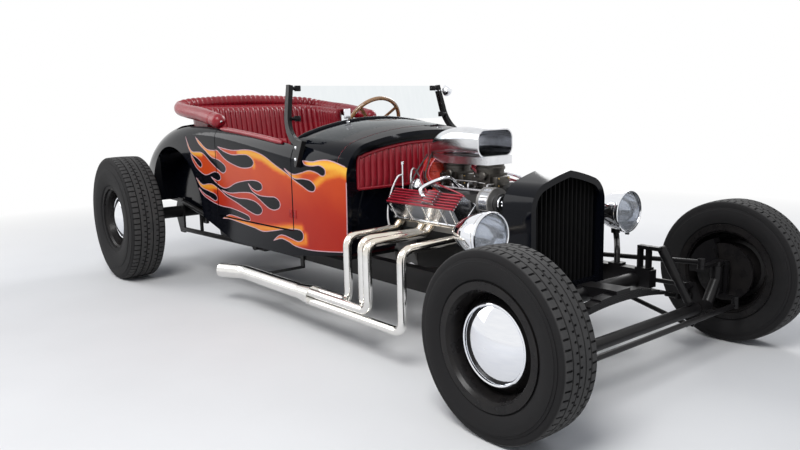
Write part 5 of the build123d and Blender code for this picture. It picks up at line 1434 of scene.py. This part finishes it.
def cover_trim():
    """Red fins, ribbed sides, lip and finned breather on both valve covers."""
    for hand, side_name in SIDES.items():
        turn = bank_turn(hand)
        top = HEAD_D + COVER_H
        shape = bmesh.new()
        for step in range(6):
            across = -0.068 + step * 0.0144
            slab(shape, (COVER_X[0] + 0.004, across - 0.0031, top - 0.001),
                 (COVER_X[1] - 0.004, across + 0.0031, top + 0.0098), turn, 0.0016, 2)
        for step in range(5):
            across = -0.060 + step * 0.014
            slab(shape, (BREATHER_X[0] + 0.003, across - 0.0030, top + 0.025),
                 (BREATHER_X[1] - 0.003, across + 0.0030, top + 0.0345), turn, 0.0015, 2)
        gather(f"cover_fins_{side_name}", shape, FIN_RED, "chassis")
        shape = bmesh.new()
        slab(shape, (COVER_X[0] - 0.003, -0.0945, HEAD_D + 0.0005),
             (COVER_X[1] + 0.003, 0.0290, HEAD_D + 0.0075), turn, 0.0025, 3)
        for station in (0.578, 0.690, 0.802, 0.914, 0.976):
            foot, head = (turn @ Vector((station, across, away)) for across, away in
                          ((-0.0905, HEAD_D + 0.010), (-0.0730, top - 0.002)))
            bar(shape, foot, head, 0.0040, 0.0034, 12)
        gather(f"cover_ribs_{side_name}", shape, POLISHED, "chassis")
        shape = bmesh.new()
        for station in (0.566, 0.634, 0.746, 0.858, 0.988):
            for across in (-0.0930, 0.0275):
                seat = turn @ Vector((station, across * 0.985, HEAD_D + 0.0072))
                ahead = turn.to_3x3() @ Vector((0, 0, 1))
                lathe(shape, COVER_SCREW, seat, ahead, 12)
        gather(f"cover_screws_{side_name}", shape, CHROME, "chassis")
        # Polished pipe that arches from the breather to the manifold
        away = top + 0.016
        wire(f"breather_pipe_{side_name}",
             [bank_point(BREATHER_X[0] - 0.002, -0.030, away, hand),
              bank_point(BREATHER_X[0] - 0.030, -0.024, away, hand),
              bank_point(BREATHER_X[0] - 0.040, 0.004, away + 0.020, hand),
              Vector((0.775, 0.170 * hand, 0.735)), Vector((0.772, 0.110 * hand, 0.700)),
              Vector((0.772, 0.070 * hand, 0.680))],
             0.0095, CHROME, "chassis", 8, 14)


def plug_leads():
    """Distributor cap with its towers and the eight plug leads to the banks."""
    shape = bmesh.new()
    lathe(shape, CAP_OUTLINE, DISTRIBUTOR, (0, 0, 1), 56)
    for step in range(8):
        turn = math.tau * (step + 0.5) / 8
        out = Vector((math.cos(turn), math.sin(turn), 0))
        tower = DISTRIBUTOR + out * 0.052
        bar(shape, tower + Vector((0, 0, 0.018)), tower + Vector((0, 0, 0.034)), 0.0085, 0.0070, 14)
    for hand in SIDES:
        clip_y = DISTRIBUTOR.y + hand * 0.0695
        slab(shape, (DISTRIBUTOR.x - 0.016, clip_y - 0.006, DISTRIBUTOR.z - 0.028),
             (DISTRIBUTOR.x + 0.016, clip_y + 0.006, DISTRIBUTOR.z + 0.008), None, 0.003, 2)
    gather("distributor_cap", shape, RED_CAP, "chassis")
    # Each plug's lead from its own tower of the cap, black and red by turns
    for hand, side_name in SIDES.items():
        red, dark = bmesh.new(), bmesh.new()
        for order, station in enumerate(PLUG_STATIONS):
            turn = math.pi + hand * (math.pi / 8 + math.pi / 4 * (3 - order))
            tower = Vector((math.cos(turn) * -0.052, hand * abs(math.sin(turn)) * 0.052, 0.031))
            start = DISTRIBUTOR + tower
            rise = 0.028 + 0.006 * order
            reach = [start, start + Vector((0.002, hand * 0.006, rise * 0.6)),
                     Vector((0.560 + 0.020 * order, hand * (0.105 + 0.010 * order), 0.812 - 0.014 * order)),
                     Vector((0.575 + 0.045 * order, hand * (0.185 + 0.005 * order), 0.738 - 0.006 * order)),
                     bank_point(station, 0.046, 0.368, hand), bank_point(station, 0.042, 0.332, hand)]
            tube(red if order % 2 else dark, smoothed(reach, 10), 0.0038, 8)
        gather(f"plug_leads_red_{side_name}", red, FIN_RED, "chassis")
        gather(f"plug_leads_black_{side_name}", dark, HOSE, "chassis")


def carb_trim():
    """Bowls, linkage, vents and fuel rail on the two carburettors."""
    dark, bright, studs = bmesh.new(), bmesh.new(), bmesh.new()
    for station in CARB_STATIONS:
        for ahead in (-1, 1):
            mid = station + ahead * 0.058
            slab(dark, (mid - 0.021, -0.043, CARB_FOOT + 0.020), (mid + 0.021, 0.043, CARB_FOOT + 0.070),
                 None, 0.006, 3)
            for hand in SIDES:
                for height in (0.029, 0.062):
                    lathe(studs, BOWL_SCREW, (mid + ahead * 0.0205, hand * 0.031, CARB_FOOT + height),
                          (ahead, 0, 0), 10)
                bar(bright, (mid, hand * 0.040, CARB_FOOT + 0.036), (mid, hand * 0.061, CARB_FOOT + 0.036),
                    0.0055, 0.0045, 12)
        # Throttle and choke shafts: height, radius
        for height, radius in ((0.022, 0.0048), (0.070, 0.0036)):
            z = CARB_FOOT + height
            bar(bright, (station - 0.026, -0.074, z), (station - 0.026, 0.074, z), radius)
            bar(bright, (station + 0.026, -0.070, z), (station + 0.026, 0.070, z), radius)
        for hand in SIDES:
            slab(dark, (station - 0.034, min(hand * 0.066, hand * 0.071), CARB_FOOT + 0.010),
                 (station - 0.018, max(hand * 0.066, hand * 0.071), CARB_FOOT + 0.050), None, 0.002, 2)
            slab(dark, (station + 0.018, min(hand * 0.062, hand * 0.067), CARB_FOOT + 0.012),
                 (station + 0.036, max(hand * 0.062, hand * 0.067), CARB_FOOT + 0.044), None, 0.002, 2)
            bar(bright, (station - 0.026, hand * 0.069, CARB_FOOT + 0.044),
                (station + 0.030, hand * 0.066, CARB_FOOT + 0.040), 0.0026, None, 8)
            for shift in (-0.042, 0.042):
                bar(bright, (station + shift, hand * 0.028, CARB_FOOT + 0.078),
                    (station + shift, hand * 0.034, CARB_FOOT + 0.112), 0.0050, 0.0044, 12)
                lathe(studs, FOOT_NUT, (station + shift * 1.29, hand * 0.062, CARB_FOOT), (0, 0, 1), 10)
        lathe(dark, CHOKE_COVER, (station + 0.014, -0.056, CARB_FOOT + 0.072), (0, -1, 0), 22)
        lathe(dark, AIR_HORN, (station, 0, CARB_RIM_Z), (0, 0, 1), 44)
    rod_z = CARB_FOOT + 0.046
    bar(bright, (CARB_STATIONS[0] - 0.040, -0.076, rod_z), (CARB_STATIONS[1] - 0.010, -0.076, rod_z), 0.0032)
    gather("carburettor_bowls", dark, DARK_ZINC, "chassis")
    gather("carburettor_linkage", bright, STEEL, "chassis")
    gather("carburettor_studs", studs, BRASS, "chassis")
    for hand, side_name in SIDES.items():
        shape = bmesh.new()
        for station in CARB_STATIONS:
            for ahead in (-1, 1):
                mid = station + ahead * 0.058
                branch = [(mid, hand * 0.060, CARB_FOOT + 0.036), (mid, hand * 0.078, CARB_FOOT + 0.037),
                          (mid + 0.006, hand * 0.090, CARB_FOOT + 0.027),
                          (mid + 0.008, hand * 0.092, CARB_FOOT + 0.012)]
                tube(shape, smoothed(branch, 6), 0.0045, 10)
        rail_z = CARB_FOOT + 0.010
        bar(shape, (0.590, hand * 0.0925, rail_z), (0.962, hand * 0.0925, rail_z), 0.0075, None, 14)
        gather(f"fuel_rail_{side_name}", shape, BRAID, "chassis")


def belt_line(wheels, x):
    """Closed line of a belt round wheels given as across, height and radius, in order."""
    line = []
    count = len(wheels)
    for index in range(count):
        y, z, radius = wheels[index]
        turns = []
        for near, far in ((wheels[index - 1], wheels[index]), (wheels[index], wheels[(index + 1) % count])):
            gap = Vector((far[0] - near[0], far[1] - near[1]))
            turns.append(math.atan2(gap.y, gap.x) - math.pi / 2 + math.asin((near[2] - far[2]) / gap.length))
        sweep = (turns[1] - turns[0]) % math.tau
        for step in range(13):
            turn = turns[0] + sweep * step / 12
            line.append(Vector((x, y + radius * math.cos(turn), z + radius * math.sin(turn))))
    return line


def drive_trim():
    """Belt, pulley fronts, alternator case and hose clips on the nose of the engine."""
    front = ENGINE_FRONT
    shape = bmesh.new()
    wheels = [(0.0, CRANK_Z, 0.0775), (0.0, PUMP_Z, 0.0735), (ALTERNATOR_Y, ALTERNATOR_Z, 0.0335)]
    line = belt_line(wheels, front + 0.0665)
    rows = []
    for index, point in enumerate(line):
        ahead = (line[(index + 1) % len(line)] - line[index - 1]).normalized()
        out = Vector((0, ahead.z, -ahead.y))
        rows.append([shape.verts.new(point + out * high + Vector((wide, 0, 0))) for wide, high in
                     ((-0.0055, 0.0), (-0.0070, 0.0075), (0.0070, 0.0075), (0.0055, 0.0))])
    for near, far in zip(rows, rows[1:] + rows[:1]):
        for side in range(4):
            shape.faces.new((near[side], near[(side + 1) % 4], far[(side + 1) % 4], far[side]))
    gather("drive_belt", shape, HOSE, "chassis")
    shape = bmesh.new()
    face_x = front + 0.0821
    # Pulley fronts: across, height, radius
    for y, z, radius in ((0.0, CRANK_Z, 0.080), (0.0, PUMP_Z, 0.076), (ALTERNATOR_Y, ALTERNATOR_Z, 0.034)):
        outline = [(0.0, 0.010), (radius * 0.16, 0.009), (radius * 0.20, 0.0015), (radius * 0.50, -0.0002),
                   (radius * 0.86, 0.0004), (radius * 0.93, 0.0030), (radius + 0.0010, 0.0030),
                   (radius + 0.0012, -0.004)]
        lathe(shape, outline, (face_x, y, z), (1, 0, 0), 40)
        for step in range(5):
            turn = math.tau * step / 5
            spot = (face_x, y + radius * 0.36 * math.cos(turn), z + radius * 0.36 * math.sin(turn))
            lathe(shape, PULLEY_BOLT, spot, (1, 0, 0), 10)
    gather("pulley_fronts", shape, CHROME, "chassis")
    shape = bmesh.new()
    for step in range(14):
        turn = math.tau * step / 14
        out = Vector((0, math.cos(turn), math.sin(turn)))
        rib = Vector((0, ALTERNATOR_Y, ALTERNATOR_Z)) + out * 0.0615
        bar(shape, rib + Vector((front - 0.010, 0, 0)), rib + Vector((front + 0.044, 0, 0)), 0.0026, None, 8)
    lathe(shape, [(0.062, -0.0170), (0.0645, -0.0160), (0.0645, -0.0060), (0.062, -0.0050)],
          (front, ALTERNATOR_Y, ALTERNATOR_Z), (1, 0, 0), 40)
    lathe(shape, [(0.062, 0.0420), (0.0645, 0.0430), (0.0645, 0.0500), (0.050, 0.0512), (0.036, 0.0512)],
          (front, ALTERNATOR_Y, ALTERNATOR_Z), (1, 0, 0), 40)
    gather("alternator_case", shape, CAST, "chassis")
    shape = bmesh.new()
    for station in (1.045, 1.148):
        lathe(shape, [(0.0172, -0.007), (0.0190, -0.0065), (0.0190, 0.0065), (0.0172, 0.007)],
              (station, 0, 0.707), (1, 0, 0), 28)
        slab(shape, (station - 0.006, -0.005, 0.7245), (station + 0.006, 0.005, 0.7330), None, 0.0015, 2)
    gather("hose_clips", shape, STEEL, "chassis")


def engine_pipes():
    """Dipstick, oil filler and braided line behind the right bank."""
    shape = bmesh.new()
    dipstick = [(0.549, -0.238, 0.640), (0.546, -0.236, 0.715), (0.545, -0.235, 0.788)]
    tube(shape, smoothed(dipstick, 6), 0.0048, 12)
    lathe(shape, DIPSTICK_CAP, (0.545, -0.235, 0.790), (0, 0, 1), 20)
    lathe(shape, FILLER_CAP, (0.580, -0.176, 0.692), (0.50, -0.70, 0.50), 36)
    gather("dipstick_and_filler", shape, CHROME, "chassis")
    wire("oil_line",
         [(0.5455, -0.236, 0.742), (0.5400, -0.262, 0.730), (0.5330, -0.292, 0.672),
          (0.5350, -0.318, 0.590), (0.5480, -0.325, 0.520), (0.5620, -0.300, 0.480)],
         0.0050, BRAID, "chassis", 10, 12)
    wire("oil_line_loop",
         [(0.5600, -0.110, 0.668), (0.5500, -0.150, 0.745), (0.5560, -0.180, 0.765),
          (0.5700, -0.205, 0.742), (0.5780, -0.212, 0.690), (0.5800, -0.205, 0.655)],
         0.0045, BRAID, "chassis", 10, 12)


# Chassis and lamp trim, in metres, outlines as radius and height along the axis
LAMP_RIM = [
    (0.0865, 0.0015), (0.0880, 0.0062), (0.0920, 0.0078), (0.0950, 0.0050), (0.0962, -0.0010),
    (0.0950, -0.0085), (0.0928, -0.0130), (0.0915, -0.0130),
]
STAND_BOLT = [
    (0.0, 0.006), (0.005, 0.0055), (0.0062, 0.004), (0.0062, 0.0), (0.0095, -0.001), (0.0095, -0.003),
]
NUT = [
    (0.0, 0.008), (0.0050, 0.0078), (0.0085, 0.0062), (0.0090, 0.0), (0.0120, -0.0005), (0.0120, -0.0035),
]
TAILPIPE_LINING = [
    (0.0, -0.110), (0.0331, -0.110), (0.0337, -0.1095), (0.0337, -0.0012), (0.0329, -0.0012),
    (0.0325, -0.1080), (0.0, -0.1080),
]
HINGE_PIN = [(0.0, 0.0030), (0.0028, 0.0026), (0.0036, 0.0010), (0.0040, -0.001)]
# Dials: across, radius, needle angle
DIALS = [(0.285, 0.043, 2.4), (0.180, 0.028, 0.8), (0.390, 0.028, 1.6), (0.100, 0.024, 2.2)]
DIAL_Z = 0.875


def lamp_trim():
    """Rolled rims, clamp screws and stand bolts on the headlamps."""
    for hand, side_name in SIDES.items():
        shape = bmesh.new()
        mouth = Vector((1.301, hand * 0.440, 0.568))
        lathe(shape, LAMP_RIM, mouth, (1, 0, 0), 64)
        slab(shape, (mouth.x - 0.010, mouth.y - 0.007, mouth.z - 0.1040),
             (mouth.x + 0.006, mouth.y + 0.007, mouth.z - 0.0900), None, 0.002, 2)
        gather(f"lamp_rim_{side_name}", shape, CHROME, "chassis")
        shape = bmesh.new()
        lathe(shape, STAND_BOLT, (1.239, hand * 0.458, 0.470), (0, hand, 0), 12)
        gather(f"lamp_bolt_{side_name}", shape, STEEL, "chassis")


def chassis_bolts():
    """Bolts of the shock posts, the spring's perch and the axle."""
    _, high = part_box("shock_absorbers")
    shape = bmesh.new()
    posts = surface("shock_absorbers")[0]
    axle = surface("front_axle", "front_spring", "crossmembers")[0]
    for hand in SIDES:
        for height in (0.02, 0.055, 0.09):
            ahead = Vector((1.65, hand * 0.25, high[2] - height))
            spot, normal, *_ = posts.ray_cast(ahead, Vector((-1, 0, 0)))
            if spot is not None:
                lathe(shape, NUT, spot, normal, 10)
        for y in (0.06, 0.12, 0.30, 0.42):
            above = Vector((1.60, hand * y, 0.70))
            spot, normal, *_ = axle.ray_cast(above, Vector((0, 0, -1)))
            if spot is not None and normal.z > 0.5:
                lathe(shape, NUT, spot, (0, 0, 1), 10)
    gather("chassis_bolts", shape, STEEL, "chassis")


def wheel_trim():
    """The rolled edge of each cap."""
    for corner in ("front_right", "front_left", "rear_right", "rear_left"):
        low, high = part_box(f"cap_{corner}")
        hand = RIGHT if "right" in corner else LEFT
        centre = (Vector(low) + Vector(high)) / 2
        radius = (high[2] - low[2]) / 2
        inner = Vector((centre.x, low[1] if hand == LEFT else high[1], centre.z))
        shape = bmesh.new()
        lathe(shape, [(radius - 0.0060, -0.001), (radius - 0.0010, 0.0005), (radius + 0.0022, 0.0030),
                      (radius + 0.0022, 0.0065), (radius - 0.0010, 0.0085), (radius - 0.0060, 0.0070)],
              inner, (0, hand, 0), 64)
        gather(f"cap_ring_{corner}", shape, CHROME, f"wheel_{corner}")


def lamp_and_dash():
    """Chrome bezels of the tail lamps and dials of the dash."""
    low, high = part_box("tail_lamps")
    mid_z = (low[2] + high[2]) / 2
    half = (high[2] - low[2]) / 2
    bezel = [(half - 0.0050, 0.0120), (half - 0.0005, 0.0150), (half + 0.0040, 0.0120),
             (half + 0.0055, 0.0040), (half + 0.0055, -0.0010), (half - 0.001, -0.0010)]
    for hand, side_name in SIDES.items():
        shape = bmesh.new()
        lathe(shape, bezel, (high[0] - 0.001, hand * (high[1] - half), mid_z), (-1, 0, 0), 44)
        gather(f"tail_bezel_{side_name}", shape, CHROME, "chassis")
    panel_low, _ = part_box("dash_panel")
    faces, rims, hands = bmesh.new(), bmesh.new(), bmesh.new()
    for y, radius, needle in DIALS:
        seat = (panel_low[0], y, DIAL_Z)
        card = [(0.0, 0.0016), (radius - 0.003, 0.0016), (radius - 0.003, -0.0010)]
        lathe(faces, card, seat, (-1, 0, 0), 40)
        rim = [(radius - 0.0045, 0.0016), (radius - 0.0030, 0.0052), (radius, 0.0058),
               (radius + 0.0030, 0.0030), (radius + 0.0032, -0.0010)]
        lathe(rims, rim, seat, (-1, 0, 0), 40)
        ray = Vector((0, math.cos(needle), math.sin(needle)))
        spot = Vector(seat) + Vector((-0.0028, 0, 0))
        bar(hands, spot - ray * radius * 0.2, spot + ray * radius * 0.78, 0.0011, 0.0004, 8)
        for tick in range(9):
            turn = math.radians(-40 + tick * 32.5)
            mark = Vector((0, math.cos(turn), math.sin(turn)))
            bar(hands, spot + mark * radius * 0.70, spot + mark * radius * 0.86, 0.0006, None, 6)
    gather("dial_faces", faces, DIAL, "chassis")
    gather("dial_rims", rims, CHROME, "chassis")
    gather("dial_hands", hands, BLACK, "chassis")


def tailpipe_mouths():
    """Sooty inside of each tailpipe's end."""
    aim = Vector((-150.0, -66.0, 0.0)).normalized()
    for hand, side_name in SIDES.items():
        ahead = Vector((aim.x, -hand * aim.y, 0))
        mouth = Vector((-0.5285, hand * 0.6655, 0.1855))
        shape = bmesh.new()
        lathe(shape, TAILPIPE_LINING, mouth, ahead, 40)
        gather(f"tailpipe_soot_{side_name}", shape, SOOT, "chassis")


def door_hinges():
    """Small painted strap hinge low on each door's front edge."""
    for hand, side_name in SIDES.items():
        skin = surface("cowl", "body_shell")
        leaf = bmesh.new()
        spot, _ = seen_from_side(skin, 0.105, 0.545, hand)
        slab(leaf, (0.0925, spot.y - 0.0020, 0.526), (0.1180, spot.y + 0.0020, 0.566), None, 0.0012, 2)
        gather(f"hinge_leaf_{side_name}", leaf, FLAME, "chassis")
        skin = surface(f"door_{side_name}")
        leaf = bmesh.new()
        spot, _ = seen_from_side(skin, 0.070, 0.545, hand)
        slab(leaf, (0.0560, spot.y - 0.0020, 0.526), (0.0825, spot.y + 0.0020, 0.566), None, 0.0012, 2)
        lathe(leaf, HINGE_PIN, (0.066, spot.y + hand * 0.0020, 0.546), (0, hand, 0), 14)
        gather(f"hinge_strap_{side_name}", leaf, FLAME, f"door_{side_name}")


# Floor that turns white with the distance in metres, and lamps: name, place, size, power
FADE_START = 2.6
FADE_LENGTH = 3.0
LAMPS = [
    ("key", (2.4, -3.2, 4.6), 2.4, 230.0),
    ("fill", (-3.5, -3.0, 2.8), 3.0, 70.0),
    ("rim", (-1.5, 4.2, 3.6), 2.6, 130.0),
]


def seen_rays(tree):
    """One for what the camera sees, also in a mirror or through glass, and zero for other rays."""
    straight, mirrored, through = (Socket(tree).node("ShaderNodeLightPath", out=f"Is {kind} Ray")
                                   for kind in ("Camera", "Glossy", "Transmission"))
    return (straight + mirrored + through).clear()


def fade_to_white(material):
    """Let the far floor meet the white surroundings: what the camera and mirrors see of it turns white."""
    tree = material.node_tree
    point = Socket(tree).node("ShaderNodeTexCoord", out="Object")
    away = point.node("ShaderNodeVectorMath", {"operation": "LENGTH"}, {0: point}, "Value")
    fade = ((away - FADE_START) / FADE_LENGTH).clear() * seen_rays(tree)
    glow = Socket(tree).node("ShaderNodeEmission", None, {"Color": (1.0, 1.0, 1.0, 1.0)})
    lit = Socket(tree, tree.nodes["Principled BSDF"].outputs[0])
    both = Socket(tree).node("ShaderNodeMixShader", None, {0: fade, 1: lit, 2: glow})
    tree.links.new(both.plug, tree.nodes["Material Output"].inputs["Surface"])


def light_studio():
    """Pale floor, white surroundings and three soft lamps."""
    floor_mesh = bpy.data.meshes.new("floor")
    sheet = bmesh.new()
    bmesh.ops.create_grid(sheet, x_segments=1, y_segments=1, size=30.0)
    sheet.to_mesh(floor_mesh)
    sheet.free()
    floor = bpy.data.objects.new("floor", floor_mesh)
    floor.location.z = -0.0005
    bpy.context.scene.collection.objects.link(floor)
    pale = finish("pale floor", lambda point: {
        "Base_Color": point.noise(2.0, 5.0).mixed((0.68, 0.68, 0.68), (0.74, 0.74, 0.74)),
        "Roughness": 0.8 + point.noise(30.0) * 0.1})
    fade_to_white(pale)
    floor_mesh.materials.append(pale)
    world = bpy.data.worlds.new("surroundings")
    world.use_nodes = True
    bpy.context.scene.world = world
    tree = world.node_tree
    back = tree.nodes["Background"]
    white = seen_rays(tree)
    tree.links.new(white.mixed((0.62, 0.66, 0.74), (1.0, 1.0, 1.0)).plug, back.inputs["Color"])
    tree.links.new((0.55 + white * 0.45).plug, back.inputs["Strength"])
    for name, place, size, power in LAMPS:
        data = bpy.data.lights.new(name, "AREA")
        data.size = size
        data.energy = power
        lamp = bpy.data.objects.new(name, data)
        lamp.location = place
        aim = Vector((0, 0, 0.5)) - Vector(place)
        lamp.rotation_euler = aim.to_track_quat("-Z", "Y").to_euler()
        bpy.context.scene.collection.objects.link(lamp)


place_camera()
light_studio()
dress_nodes()
seat_back()
seat_cushion()
rear_roll()
door_trim()
firewall_pad()
flames()
all_tyres()
cowl_bead()
cowl_line()
mirror_and_clamps()
cover_trim()
plug_leads()
carb_trim()
drive_trim()
engine_pipes()
lamp_trim()
chassis_bolts()
wheel_trim()
lamp_and_dash()
tailpipe_mouths()
door_hinges()
bpy.context.scene.view_settings.view_transform = "Standard"
